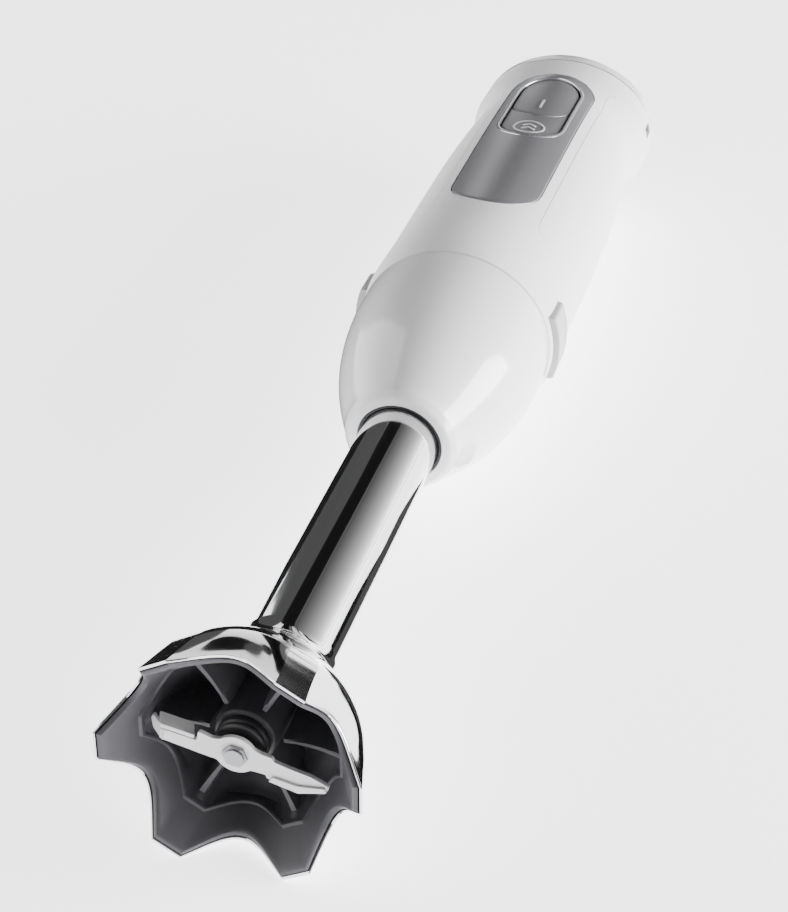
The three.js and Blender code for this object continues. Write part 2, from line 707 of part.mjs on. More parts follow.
const motor = [
  piece('lower_motor_bracket', lowerBracket(), ZINC),
  piece('upper_motor_bracket', upperBracket(), DARK_PLASTIC),
  piece('lower_motor_bearing', motorBearing(211.6), BRONZE),
  piece('upper_motor_bearing', motorBearing(283.8), BRONZE),
  piece('motor_damper_ring', motorDamper(), BLACK_RUBBER),
  piece('stator_core', statorCore(), IRON),
  piece('upper_field_coil', fieldCoil(0), COPPER),
  piece('lower_field_coil', fieldCoil(Math.PI), COPPER),
  ...SIDES.map(([name, side]) => piece(`brush_holder_${name}`, brushHolder(side), BRONZE)),
  ...SIDES.map(([name, side]) => piece(`carbon_brush_${name}`, carbonBrush(side), CARBON)),
  ...SCREW_ANGLES.map((angle, i) => piece(`motor_screw_${i + 1}`, motorScrew(angle), ZINC)),
];

const electronics = [
  piece('circuit_board', circuitBoard(), BOARD_GREEN),
  piece('speed_microswitch', microswitch(STEMS.speed), DARK_PLASTIC),
  piece('turbo_microswitch', microswitch(STEMS.turbo), DARK_PLASTIC),
  ...SIDES.map(([name, side]) => piece(`board_screw_${name}`, boardScrew(side), ZINC)),
];

const controls = [
  piece('speed_button', speedButton(), BUTTON_GREY),
  piece('turbo_button', turboButton(), BUTTON_GREY),
  ...SIDES.map(([name, side]) => piece(`release_button_${name}`, releaseButton(side), PALE_GREY)),
];

const springs = [
  piece('speed_button_spring', spring(new THREE.Vector3(0, 330, 17.2), UP, 2.2, 7.4, 4), ZINC),
  piece('turbo_button_spring', spring(new THREE.Vector3(7.4, 301, 17.2), UP, 1.6, 7.4, 4), ZINC),
  ...SIDES.map(([name, side]) => piece(
    `release_spring_${name}`,
    spring(new THREE.Vector3(side * 24, RELEASE_MIDDLE, 0), ACROSS, 1.8, 3.2, 3), ZINC)),
];

const rotor = [
  piece('armature_shaft', armatureShaft(), IRON),
  piece('armature_core', armatureCore(), COPPER),
  piece('commutator', commutator(), COPPER),
  piece('cooling_fan', coolingFan(), DARK_PLASTIC),
  piece('drive_coupling', driveCoupling(), DARK_PLASTIC),
];

const blendingShaft = [
  piece('coupling_cone', couplingCone(), WHITE_GLOSS),
  piece('bearing_carrier', bearingCarrier(), DARK_PLASTIC),
  piece('catch_ring', catchRing(), ZINC),
  piece('steel_tube', steelTube(), MIRROR_STEEL),
  piece('tube_ring', tubeRing(), BLACK_RUBBER),
  piece('bell_housing', bellHousing(), MIRROR_STEEL),
  piece('bell_liner', bellLiner(), CHARCOAL),
  piece('upper_shaft_bush', bush(7.1, 176, 187), BRONZE),
  piece('lower_shaft_bush', bush(10.4, BUSH_SEAT + 0.4, TUBE_START - 0.5), BRONZE),
  piece('shaft_seal', shaftSeal(), BLACK_RUBBER),
];

const driveLine = [
  piece('drive_shaft', driveShaft(), IRON),
  piece('drive_socket', driveSocket(), DARK_PLASTIC),
  piece('blade', blade(), BLADE_STEEL),
  piece('blade_nut', bladeNut(), BLADE_STEEL),
];

for (const members of [housing, motor, electronics, controls, springs, rotor, blendingShaft, driveLine]) {
  const group = new THREE.Group();
  group.add(...members);
  axisFrame.add(group);
}

export default axisFrame;
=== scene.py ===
import json
import math

import bpy
from bpy.props import FloatProperty, FloatVectorProperty, PointerProperty
from mathutils import Matrix, Vector

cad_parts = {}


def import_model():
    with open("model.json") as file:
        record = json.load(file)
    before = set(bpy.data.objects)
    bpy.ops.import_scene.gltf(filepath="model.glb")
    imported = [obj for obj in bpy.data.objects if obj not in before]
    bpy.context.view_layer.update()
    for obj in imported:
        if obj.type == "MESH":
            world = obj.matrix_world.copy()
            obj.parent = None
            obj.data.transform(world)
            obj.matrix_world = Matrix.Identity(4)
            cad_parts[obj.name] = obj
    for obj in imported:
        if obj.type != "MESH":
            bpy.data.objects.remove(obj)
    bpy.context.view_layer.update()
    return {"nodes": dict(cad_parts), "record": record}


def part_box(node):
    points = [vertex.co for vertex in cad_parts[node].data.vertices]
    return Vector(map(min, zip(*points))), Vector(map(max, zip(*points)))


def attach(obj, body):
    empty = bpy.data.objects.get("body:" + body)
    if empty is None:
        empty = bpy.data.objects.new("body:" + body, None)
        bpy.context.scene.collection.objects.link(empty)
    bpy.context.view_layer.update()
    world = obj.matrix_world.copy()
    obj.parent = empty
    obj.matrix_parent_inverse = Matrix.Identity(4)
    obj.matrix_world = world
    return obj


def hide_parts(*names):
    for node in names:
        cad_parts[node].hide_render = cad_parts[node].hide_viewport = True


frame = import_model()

bl_info = {
    "name": "Immersion blender",
    "version": (1, 0, 0),
    "blender": (4, 5, 0),
    "location": "3D View > Sidebar > Immersion Blender",
    "description": "Detailed pieces and finishes of an immersion blender, made round its packed frame",
    "category": "Object",
}

# ---------------------------------------------------------------- the frame, in metres
MM = 0.001
TURN = 2 * math.pi
DEG = math.pi / 180
TUBE_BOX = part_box("steel_tube")
BELL_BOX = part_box("bell_housing")
AXIS_HEIGHT = (TUBE_BOX[0].z + TUBE_BOX[1].z) / 2
FOOT_END = BELL_BOX[0].y
REST_LEVEL = AXIS_HEIGHT / MM  # the drive axis above the table, in millimetres

# ---------------------------------------------------------------- sizes, in millimetres
# The pieces are drawn in the axis frame: y = 0 at the foot tips and runs up the drive axis, and angles go
# from the key side towards +X. Turned profiles list (radius, y), and curves read at a y list (y, radius).

# Bell: six narrow lobes, with a scalloped panel between each two
LOBES = 6
LOBE_HALF = 7 * DEG
LOBE_SPREAD = 2.5 * DEG
BELL_RADIUS = 34.8
BELL_TOP = 47
BELL_CURVE = (
    (0, BELL_RADIUS), (5, 33.4), (11, 31.8), (18, 29.6), (24, 26.4), (30, 21.8),
    (36, 16.6), (40, 13.8), (43, 12.9), (BELL_TOP, 12.7),
)
BELL_EDGE = 0.22
SCALLOP_HEIGHT = 8.5
FLAT_SHARE = 0.45

# Liner: rim, sloping wall, scalloped crease, ribbed ceiling and boss
LINER_INSET = 1.1
LINER_OUTSIDE = (0.7, 0.55, 0.4, 0.28, 0.16, 0.06, 0.005)  # shares of the way from the rim to the neck
LINER_RIM = ((0.1, 0.35), (0.35, 0.2), (1.1, 0.2), (1.5, 0.35), (1.75, 0.7))  # inset, lift
LINER_WALL = (0.12, 0.3, 0.5, 0.7, 0.88, 0.97)  # shares of the way from the rim to the crease
LINER_RIDGE = ((0.1, -0.75), (-0.25, -0.55), (-0.45, 0.1), (-0.35, 0.9))  # steps from the crease
CREASE_RADIUS = 26
CREASE_Y = 11
CREASE_RISE = 6
RIB_EDGE = 13.4
RIB_HALF = 1.1
BOSS_RADIUS = 8
BOSS_END = 14
CHAMBER_START = 13.5
CHAMBER_OUTER = CREASE_RADIUS - 0.8
CHAMBER_INNER = BOSS_RADIUS + 1.6
CEILING = 29.5
LINER_BOSS = (
    (BOSS_RADIUS + 1, CEILING - 0.4), (BOSS_RADIUS + 0.55, CEILING - 1.6), (BOSS_RADIUS + 0.1, BOSS_END + 2),
    (BOSS_RADIUS, BOSS_END + 0.5), (BOSS_RADIUS - 0.4, BOSS_END), (6.4, BOSS_END), (6.2, BOSS_END + 0.3),
    (3.2, BOSS_END + 0.3), (3.2, 36), (11, 36), (11, 40),
)
SEAL_PROFILE = (
    (3, 10.2), (6.2, 10.2), (6.7, 10.5), (6.9, 11.1), (6.5, 11.6), (6.3, 11.8), (6.5, 12), (6.9, 12.3),
    (6.9, 13.7), (3, 13.7),
)

# Blade: outlines in (x, z) of the blade before it is turned about the axis
BLADE_TURN = 10 * DEG
BLADE_PLANE = 7
BLADE_SHEET = 1.2
BLADE_HUB = 5.6
BLADE_CUP_WING = ((-6.4, 2.8), (-10.2, 3.5), (-10.2, 0.4), (-19.6, 0.3), (-19.6, -2.9), (-8, -3.4))
BLADE_FLAP_WING = (
    (8.5, -3.1), (8.8, -4.1), (17, -4.8), (24.2, -1.6), (24.2, -0.2), (19.5, 1.1), (13.6, 1.4),
    (9.6, 1.9), (9.2, 2.9), (6, 3),
)
BLADE_CUP = ((-1, 0.4), (4.6, 1.2), (5.8, -0.6), (4.2, -2.9), (-1, -2.9))
BLADE_CUP_START = -19
BLADE_CUP_LEAN = 40 * DEG
BLADE_WALL = ((10.8, 0.2), (20, 0.2), (21.6, 4.4), (12.6, 4.4))
BLADE_FLAP = ((9.4, -4.2), (17.2, -4.9), (24, -1.8), (23.4, -0.6), (17, -2.6), (10.2, -2.6))
BLADE_FLAP_LEAN = 0.25
BLADE_HOLE = 2.35
NUT_RADIUS = 3.4
NUT_START = 6.15
NUT_END = 7.1

# Tube, cone and the coupling inside it
TUBE_RADIUS = 11.7
TUBE_START = 43
TUBE_END = 181
CONE_START = 146.2
SEAM = 206
SHELL_START = SEAM + 0.4
TUBE_BORE = TUBE_RADIUS - 0.8
TUBE_PROFILE = (
    (TUBE_BORE, TUBE_START), (TUBE_RADIUS, TUBE_START), (TUBE_RADIUS, TUBE_END), (TUBE_BORE, TUBE_END),
)
TUBE_RING_INNER = TUBE_RADIUS + 0.1
TUBE_RING_OUTER = TUBE_RADIUS + 0.85
TUBE_RING_PROFILE = (
    (TUBE_RING_INNER, CONE_START + 0.3), (TUBE_RING_OUTER, CONE_START + 0.3),
    (TUBE_RING_OUTER, CONE_START + 4), (TUBE_RING_INNER, CONE_START + 4),
)
CONE_BORE = TUBE_RADIUS + 0.95
CONE_OUTSIDE = (
    (CONE_START, 15.2), (147.4, 16.5), (150.6, 17.7), (155, 19.9), (162, 23), (170, 25.9), (180, 28.4),
    (190, 29.8), (198, 30.25), (SEAM, 30.3),
)
CONE_INSIDE = (
    (30.05, SEAM), (27.6, SEAM), (27.2, 190.5), (25.7, 181), (23.2, 171.6), (20.4, 163.8), (17.8, 158),
    (15.8, 155), (15.2, 163), (CONE_BORE, 163),
)
SEAT_PROFILE = (
    (22.6, 190.5), (24.8, 190.5), (24.8, 206.6), (26.4, 206.6), (26.4, 209.6), (8.6, 209.6), (8.6, 206.6),
    (22.6, 206.6),
)
SEAT_RING_PROFILE = ((25.1, 200.5), (26.3, 200.5), (26.3, 203), (25.1, 203))
CARRIER_PROFILE = (
    (12, 170), (14.6, 170), (14.6, 183.2), (25.4, 183.2), (25.4, 186), (7.4, 186), (7.4, 181.4), (12, 181.4),
)
CATCH_PROFILE = ((25.8, 196), (27, 196), (27, 198.4), (25.8, 198.4))

# Handle: an oval section whose reach is read at a y on the key side, at the sides and at the back
HANDLE_SEGMENTS = 144
HANDLE_EDGE = 0.25
CAP_SEAM = 356
OVERALL_LENGTH = 366
FRONT_REACH = (
    (SHELL_START, 30.3), (210, 31.05), (215, 31.3), (225, 30.7), (236, 29.8), (250, 29.3),
    (270, 28.9), (290, 28.6), (304, 28.2), (318, 27.7), (331, 27), (341, 26.3), (CAP_SEAM, 25.2),
)
SIDE_REACH = (
    (SHELL_START, 30.4), (210, 31.05), (215, 31.3), (225, 31.1), (236, 31), (250, 31),
    (270, 30.8), (290, 30.5), (304, 29.9), (318, 28.9), (327, 27.8), (333, 27.3), (337, 28.1),
    (341, 30), (345, 31.1), (349, 31.2), (CAP_SEAM, 31),
)
BACK_REACH = (
    (SHELL_START, 30.3), (210, 31.05), (215, 31.3), (225, 31.3), (236, 31.5), (250, 32.2),
    (262, 33.2), (290, 33.2), (304, 31.2), (318, 28), (331, 24.2), (337, 22.8), (341, 22.8),
    (345, 23.4), (349, 23), (CAP_SEAM, 21.6),
)
SHELL_WALL = 2.6
GRIP_START = 229
GRIP_END = 347
GRIP_EDGE_REACH = 17.6
GRIP_CORNER = 80 * DEG
GRIP_LOWER_CURVE = 13
GRIP_UPPER_CURVE = 8
LATCH_START = 347.6
LATCH_END = 353.4
LATCH_REACH = 31.4
LATCH_HALF = 1.4
LATCH_LOW = 3.2
LATCH_HIGH = 6.8

# Cap and cord gland: the side lists (inset from the handle's section, height over the seam), the dome and the
# inside (scale of the section, height over the seam), and the mouth (radius, depth from the end)
CAP_GAP = 0.7
CAP_EDGE = 0.25
CAP_WALL = 2.4
CAP_SIDE = ((0.02, 2.7), (0.16, 4), (0.9, 6))
CAP_DOME = ((0.945, 7), (0.9, 8), (0.83, 8.9), (0.74, 9.5), (0.6, 9.85), (0.45, 10))
CAP_INSIDE = ((0.74, 6.4), (0.88, 4))
CAP_MOUTH = ((7.4, 0), (6.2, 0.1), (5.5, 0.6), (5.3, 1.6), (5.3, 2.4), (9, 2.4))
GLAND_END = OVERALL_LENGTH - 0.2
GLAND_PROFILE = (
    (3.7, CAP_SEAM - 1), (7.5, CAP_SEAM - 1), (7.5, CAP_SEAM + 4), (5, CAP_SEAM + 4), (5, GLAND_END - 1.4),
    (4.6, GLAND_END - 1.2), (4.6, GLAND_END - 0.8), (5, GLAND_END - 0.6), (4.9, GLAND_END), (3.9, GLAND_END),
    (3.7, GLAND_END - 0.4),
)

# Panel and keys: long outlines with a round bottom and an arched top
PANEL = {"start": 241, "end": 342.2, "half": 14.5, "rise": 10.5}
KEYS = {"start": 290.6, "end": 338, "half": 10.1, "rise": 10.1}
KEY_SPLIT = 16.1  # from the window's lower end to the gap between the keys, in the middle
KEY_GAP = 0.3
POCKET_DEPTH = 1.9
POCKET_SHADE_DEPTH = 0.3
WINDOW_GROW = 1.0
TOOL_LOW = 10
TOOL_HIGH = 50
KEY_COLUMNS = 28
KEY_ROWS = 14
KEY_EDGE = ((0.0, -2.2), (0.0, -0.28), (0.08, -0.1), (0.28, 0.0))  # inset, lift
SPEED_BAR_START = 312.4
SPEED_BAR_LENGTH = 6.3
TURBO_RING_MIDDLE = 297.2
TURBO_RING_WIDE = 5.1
TURBO_RING_LONG = 4.2
CHEVRON_MIDDLES = (295.4, 297.8)
CHEVRON_HALF = 2.2
CHEVRON_RISE = 1.3

# Release keys on the collar
RELEASE_START = 208.5
RELEASE_END = 219
RELEASE_HALF = 10.8
RELEASE_INNER = 28.9
RELEASE_OUTER = 32.8
RELEASE_EDGE = ((0.0, 0.55), (0.05, 0.28), (0.2, 0.1), (0.45, 0.0))  # inset, drop
RELEASE_DISH = 0.5


# ---------------------------------------------------------------- user settings
class BlenderSizes(bpy.types.PropertyGroup):
    seam_gap: FloatProperty(
        name="Seam gap", description="Width of the seams between neighbouring mouldings",
        default=0.00014, min=0, unit="LENGTH")
    bead_height: FloatProperty(
        name="Key frame height", description="How far the frame round the keys stands off the panel",
        default=0.0003, min=0, unit="LENGTH")
    key_sink: FloatProperty(
        name="Key sink", description="How far the keys lie below the panel",
        default=0.0005, min=0, unit="LENGTH")
    sheet: FloatProperty(
        name="Bell sheet", description="Thickness of the steel of the bell",
        default=0.0008, min=0.0002, unit="LENGTH")


class BlenderColours(bpy.types.PropertyGroup):
    white: FloatVectorProperty(
        name="White", description="Glossy white plastic of the handle and the cone",
        default=(0.8, 0.8, 0.81), subtype="COLOR", min=0, max=1)
    soft_white: FloatVectorProperty(
        name="Soft white", description="Soft-touch plastic of the grip",
        default=(0.8, 0.8, 0.82), subtype="COLOR", min=0, max=1)
    pale_grey: FloatVectorProperty(
        name="Pale grey", description="Release keys and inner mouldings",
        default=(0.42, 0.42, 0.43), subtype="COLOR", min=0, max=1)
    panel: FloatVectorProperty(
        name="Panel", description="Satin lacquer of the control panel",
        default=(0.33, 0.325, 0.35), subtype="COLOR", min=0, max=1)
    keys: FloatVectorProperty(
        name="Keys", description="Speed and turbo keys",
        default=(0.2, 0.197, 0.21), subtype="COLOR", min=0, max=1)
    steel: FloatVectorProperty(
        name="Steel", description="Polished steel of the tube and the bell",
        default=(0.78, 0.78, 0.79), subtype="COLOR", min=0, max=1)
    liner: FloatVectorProperty(
        name="Liner", description="Charcoal plastic inside the bell",
        default=(0.075, 0.073, 0.082), subtype="COLOR", min=0, max=1)


def sizes():
    return bpy.context.scene.blender_sizes


def colours():
    return bpy.context.scene.blender_colours


# ---------------------------------------------------------------- points and curves
def axis_point(x, y, z):
    """A point of the axis frame, in millimetres, as a place in the row frame, in metres."""
    return Vector((x * MM, FOOT_END + y * MM, AXIS_HEIGHT + z * MM))


def drawn_place(place):
    """A place in the row frame, in metres, as (x, y, z) of the axis frame, in millimetres."""
    return place.x / MM, (place.y - FOOT_END) / MM, (place.z - AXIS_HEIGHT) / MM


def polar(radius, angle, y):
    return axis_point(radius * math.sin(angle), y, radius * math.cos(angle))


def blend_step(value, low, high):
    part = min(max((value - low) / (high - low), 0), 1)
    return part * part * (3 - 2 * part)


def reading(table, y):
    """A smooth reading of a table of (y, value): a cubic through its points, flat beyond them."""
    last = len(table) - 1
    if y <= table[0][0]:
        return table[0][1]
    if y >= table[last][0]:
        return table[last][1]
    at = next(i for i in range(last) if table[i + 1][0] > y)
    steps = [(table[i + 1][1] - table[i][1]) / (table[i + 1][0] - table[i][0]) for i in range(last)]
    slopes = [
        steps[max(i - 1, 0)] / 2 + steps[min(i, last - 1)] / 2 if 0 < i < last else steps[min(i, last - 1)]
        for i in (at, at + 1)
    ]
    span = table[at + 1][0] - table[at][0]
    t = (y - table[at][0]) / span
    return (
        (2 * t ** 3 - 3 * t ** 2 + 1) * table[at][1] + (t ** 3 - 2 * t ** 2 + t) * span * slopes[0]
        + (3 * t ** 2 - 2 * t ** 3) * table[at + 1][1] + (t ** 3 - t ** 2) * span * slopes[1])


def softened(points, radius, steps=4):
    """The closed outline with each corner turned on a small curve of about that radius."""
    result = []
    count = len(points)
    for i, point in enumerate(points):
        corner = Vector(point)
        before = Vector(points[i - 1]) - corner
        after = Vector(points[(i + 1) % count]) - corner
        cut = min(radius, before.length * 0.45, after.length * 0.45)
        first = corner + before.normalized() * cut
        final = corner + after.normalized() * cut
        for step in range(steps + 1):
            t = step / steps
            result.append(tuple(first * (1 - t) ** 2 + corner * 2 * t * (1 - t) + final * t * t))
    return result


# ---------------------------------------------------------------- meshes
def mesh_object(name, points, faces, sharp=35):
    mesh = bpy.data.meshes.new(name)
    mesh.from_pydata([tuple(point) for point in points], [], faces)
    mesh.validate()
    mesh.polygons.foreach_set("use_smooth", [True] * len(mesh.polygons))
    mesh.set_sharp_from_angle(angle=sharp * DEG)
    mesh.update()
    piece = bpy.data.objects.new(name, mesh)
    bpy.context.scene.collection.objects.link(piece)
    return piece


def facing_out(piece):
    """Turns all faces outwards, by the sign of the enclosed volume."""
    mesh = piece.data
    mesh.calc_loop_triangles()
    volume = 0
    for triangle in mesh.loop_triangles:
        a, b, c = (mesh.vertices[i].co - mesh.vertices[0].co for i in triangle.vertices)
        volume += a.dot(b.cross(c))
    if volume < 0:
        mesh.flip_normals()
    return piece


def skinned(name, rings, closed=True, sharp=35):
    """A skin over rings of equal counts: a closed loop of rings, or else one with filled ends."""
    count = len(rings[0])
    points = [point for ring in rings for point in ring]
    faces = []
    for at in range(len(rings) if closed else len(rings) - 1):
        low = at * count
        high = (at + 1) % len(rings) * count
        faces += [(low + i, low + (i + 1) % count, high + (i + 1) % count, high + i) for i in range(count)]
    if not closed:
        faces.append(tuple(reversed(range(count))))
        faces.append(tuple(range((len(rings) - 1) * count, len(rings) * count)))
    return facing_out(mesh_object(name, points, faces, sharp))


def turned(name, profile, radius=0.25, segments=96):
    """A solid of revolution about the drive axis from a closed outline of (radius, y)."""
    outline = softened(profile, radius)
    rings = [[polar(r, i * TURN / segments, y) for i in range(segments)] for r, y in outline]
    return skinned(name, rings, sharp=50)


def plate(name, outline, low, high, place, radius=0.12):
    """A flat plate with soft edges: the outline in (u, v), from w = low to high, set by place(u, v, w)."""
    centre = sum((Vector(point) for point in outline), Vector((0, 0))) / len(outline)

    def drawn_in(point, amount):
        inward = centre - Vector(point)
        return Vector(point) + inward.normalized() * amount

    rings = []
    for w, amount in ((low, radius), (low + radius, 0), (high - radius, 0), (high, radius)):
        rings.append([place(*drawn_in(point, amount), w) for point in outline])
    return skinned(name, rings, closed=False, sharp=30)


def combined(base, tools, operation):
    """Joins or cuts base with the tools, and removes the tools."""
    for tool in tools:
        modifier = base.modifiers.new("combine", "BOOLEAN")
        modifier.operation = operation
        modifier.solver = "MANIFOLD"
        modifier.object = tool
        with bpy.context.temp_override(object=base, active_object=base):
            bpy.ops.object.modifier_apply(modifier=modifier.name)
        bpy.data.objects.remove(tool)
    if not base.data.polygons:
        raise RuntimeError(f"{base.name} came out empty")
    base.data.polygons.foreach_set("use_smooth", [True] * len(base.data.polygons))
    base.data.set_sharp_from_angle(angle=35 * DEG)
    return base


def finished(piece, material, body, slot, *nodes):
    """Gives a piece its material and body, and hides the plain nodes that it stands for; the slot is not
    used.
    """
    if not piece.data.materials:
        piece.data.materials.append(material)
    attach(piece, body)
    if nodes:
        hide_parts(*nodes)
    return piece


# ---------------------------------------------------------------- shared effects
def node_group(name, inputs, outputs):
    tree = bpy.data.node_groups.new(name, "ShaderNodeTree")
    for label, default in inputs:
        socket = tree.interface.new_socket(name=label, in_out="INPUT", socket_type="NodeSocketFloat")
        socket.default_value = default
    for label in outputs:
        tree.interface.new_socket(name=label, in_out="OUTPUT", socket_type="NodeSocketFloat")
    return tree, tree.nodes.new("NodeGroupInput"), tree.nodes.new("NodeGroupOutput")


def noise(tree, detail, roughness=0.5):
    node = tree.nodes.new("ShaderNodeTexNoise")
    node.inputs["Detail"].default_value = detail
    node.inputs["Roughness"].default_value = roughness
    return node


def moulded_grain():
    """Fine grain of a moulding with slow waves over it: Height for bump, Cloud for slow change."""
    found = bpy.data.node_groups.get("moulded_grain")
    if found:
        return found
    tree, given, result = node_group(
        "moulded_grain", (("Fine", 4000), ("Slow", 60), ("Waves", 0.3)), ("Height", "Cloud"))
    place = tree.nodes.new("ShaderNodeTexCoord")
    fine = noise(tree, 2)
    slow = noise(tree, 3)
    for node, socket in ((fine, "Fine"), (slow, "Slow")):
        tree.links.new(place.outputs["Object"], node.inputs["Vector"])
        tree.links.new(given.outputs[socket], node.inputs["Scale"])
    mixed = tree.nodes.new("ShaderNodeMix")
    tree.links.new(given.outputs["Waves"], mixed.inputs["Factor"])
    tree.links.new(fine.outputs["Fac"], mixed.inputs["A"])
    tree.links.new(slow.outputs["Fac"], mixed.inputs["B"])
    tree.links.new(mixed.outputs["Result"], result.inputs["Height"])
    tree.links.new(slow.outputs["Fac"], result.inputs["Cloud"])
    return tree


def drawn_lines():
    """Fine lines of drawn or ground metal along one direction: Height for bump, Lines for colour."""
    found = bpy.data.node_groups.get("drawn_lines")
    if found:
        return found
    tree, given, result = node_group(
        "drawn_lines", (("Across", 3000), ("Along", 20), ("Upright", 3000)), ("Height", "Lines"))
    place = tree.nodes.new("ShaderNodeTexCoord")
    stretch = tree.nodes.new("ShaderNodeCombineXYZ")
    scaled = tree.nodes.new("ShaderNodeVectorMath")
    scaled.operation = "MULTIPLY"
    for axis, socket in (("X", "Across"), ("Y", "Along"), ("Z", "Upright")):
        tree.links.new(given.outputs[socket], stretch.inputs[axis])
    tree.links.new(place.outputs["Object"], scaled.inputs[0])
    tree.links.new(stretch.outputs["Vector"], scaled.inputs[1])
    lines = noise(tree, 3, 0.6)
    lines.inputs["Scale"].default_value = 1
    tree.links.new(scaled.outputs["Vector"], lines.inputs["Vector"])
    ramp = tree.nodes.new("ShaderNodeMapRange")
    ramp.inputs["From Min"].default_value = 0.35
    ramp.inputs["From Max"].default_value = 0.65
    tree.links.new(lines.outputs["Fac"], ramp.inputs["Value"])
    tree.links.new(lines.outputs["Fac"], result.inputs["Height"])
    tree.links.new(ramp.outputs["Result"], result.inputs["Lines"])
    return tree


def handling_marks():
    """Faint patches where a surface has been touched or wiped: Mask from 0 to 1."""
    found = bpy.data.node_groups.get("handling_marks")
    if found:
        return found
    tree, given, result = node_group("handling_marks", (("Scale", 30), ("Cover", 0.5)), ("Mask",))
    place = tree.nodes.new("ShaderNodeTexCoord")
    patches = noise(tree, 5, 0.65)
    patches.inputs["Distortion"].default_value = 0.6
    tree.links.new(place.outputs["Object"], patches.inputs["Vector"])
    tree.links.new(given.outputs["Scale"], patches.inputs["Scale"])
    lower = tree.nodes.new("ShaderNodeMath")
    lower.operation = "SUBTRACT"
    lower.inputs[0].default_value = 1
    tree.links.new(given.outputs["Cover"], lower.inputs[1])
    ramp = tree.nodes.new("ShaderNodeMapRange")
    ramp.inputs["From Max"].default_value = 0.9
    tree.links.new(lower.outputs["Value"], ramp.inputs["From Min"])
    tree.links.new(patches.outputs["Fac"], ramp.inputs["Value"])
    tree.links.new(ramp.outputs["Result"], result.inputs["Mask"])
    return tree


# ---------------------------------------------------------------- materials
def placed(tree, group, **values):
    node = tree.nodes.new("ShaderNodeGroup")
    node.node_tree = group
    for socket, value in values.items():
        node.inputs[socket].default_value = value
    return node


def ranged(tree, source, low, high):
    """Maps a 0 to 1 value onto a range."""
    node = tree.nodes.new("ShaderNodeMapRange")
    node.inputs["To Min"].default_value = low
    node.inputs["To Max"].default_value = high
    tree.links.new(source, node.inputs["Value"])
    return node.outputs["Result"]


def shaded(colour, factor):
    return tuple(min(channel * factor, 1) for channel in colour)


def tinted(tree, source, colour, spread):
    """A colour that gets darker and paler by its spread, with a 0 to 1 value."""
    node = tree.nodes.new("ShaderNodeMix")
    node.data_type = "RGBA"
    node.inputs["A"].default_value = (*shaded(colour, 1 - spread / 2), 1)
    node.inputs["B"].default_value = (*shaded(colour, 1 + spread / 2), 1)
    tree.links.new(source, node.inputs["Factor"])
    return node.outputs["Result"]


def bumped(tree, shader, height, distance):
    node = tree.nodes.new("ShaderNodeBump")
    node.inputs["Strength"].default_value = 1
    node.inputs["Distance"].default_value = distance
    tree.links.new(height, node.inputs["Height"])
    tree.links.new(node.outputs["Normal"], shader.inputs["Normal"])


def plain_material(name, colour, roughness, metallic=0.0, fine=4000, waves=0.3, depth=0.00001, spread=0.06,
                   coat=0.0, specular=0.5):
    """A moulded or cast finish: grain in the bump, slow cloud in the colour, handling marks in the gloss."""
    found = bpy.data.materials.get(f"finish_{name}")
    if found:
        return found
    material = bpy.data.materials.new(f"finish_{name}")
    material.use_nodes = True
    tree = material.node_tree
    shader = tree.nodes["Principled BSDF"]
    shader.inputs["Metallic"].default_value = metallic
    shader.inputs["Specular IOR Level"].default_value = specular
    shader.inputs["Coat Weight"].default_value = coat
    shader.inputs["Coat Roughness"].default_value = 0.05
    grain = placed(tree, moulded_grain(), Fine=fine, Waves=waves)
    touch = placed(tree, handling_marks(), Scale=40)
    tint = tinted(tree, grain.outputs["Cloud"], colour, spread)
    tree.links.new(tint, shader.inputs["Base Color"])
    tree.links.new(ranged(tree, touch.outputs["Mask"], roughness, roughness * 1.25 + 0.02),
                   shader.inputs["Roughness"])
    bumped(tree, shader, grain.outputs["Height"], depth)
    return material


def white_gloss():
    return plain_material("white_gloss", colours().white, 0.16, fine=900, waves=0.6, depth=0.000003,
                          spread=0.015, coat=0.6)


def white_soft():
    return plain_material("white_soft", colours().soft_white, 0.5, fine=5200, waves=0.05, depth=0.00002,
                          spread=0.02)


def pale_grey():
    return plain_material("pale_grey", colours().pale_grey, 0.36, fine=5000, depth=0.000012, spread=0.04)


# Painted shade: a near-black finish for faces down in the seams and the panel's pocket, standing in for the
# shade that falls there.
def seam_shade():
    return plain_material("seam_shade", (0.05, 0.05, 0.055), 0.6, fine=5000, depth=0.00001, spread=0.1)


def charcoal():
    return plain_material("charcoal", colours().liner, 0.42, fine=3600, depth=0.000012, spread=0.12,
                          specular=0.3)


def lined_material(name, colour, roughness, metallic, across, along, upright, depth, spread):
    """A drawn, rolled or ground metal finish, with lines along one direction."""
    found = bpy.data.materials.get(f"finish_{name}")
    if found:
        return found
    material = bpy.data.materials.new(f"finish_{name}")
    material.use_nodes = True
    tree = material.node_tree
    shader = tree.nodes["Principled BSDF"]
    shader.inputs["Metallic"].default_value = metallic
    lines = placed(tree, drawn_lines(), Across=across, Along=along, Upright=upright)
    touch = placed(tree, handling_marks(), Scale=35, Cover=0.42)
    tint = tinted(tree, lines.outputs["Lines"], colour, spread)
    tree.links.new(tint, shader.inputs["Base Color"])
    tree.links.new(ranged(tree, touch.outputs["Mask"], roughness, roughness + 0.05),
                   shader.inputs["Roughness"])
    bumped(tree, shader, lines.outputs["Height"], depth)
    return material


def mirror_steel():
    return lined_material("mirror_steel", colours().steel, 0.075, 1.0, 900, 60, 900, 0.0000005, 0.03)


def blade_steel():
    return lined_material("blade_steel", (0.82, 0.82, 0.85), 0.3, 1.0, 150, 2500, 3200, 0.000006, 0.1)


def panel_lacquer():
    return lined_material("panel_lacquer", colours().panel, 0.34, 0.7, 2600, 40, 2600, 0.000003, 0.05)


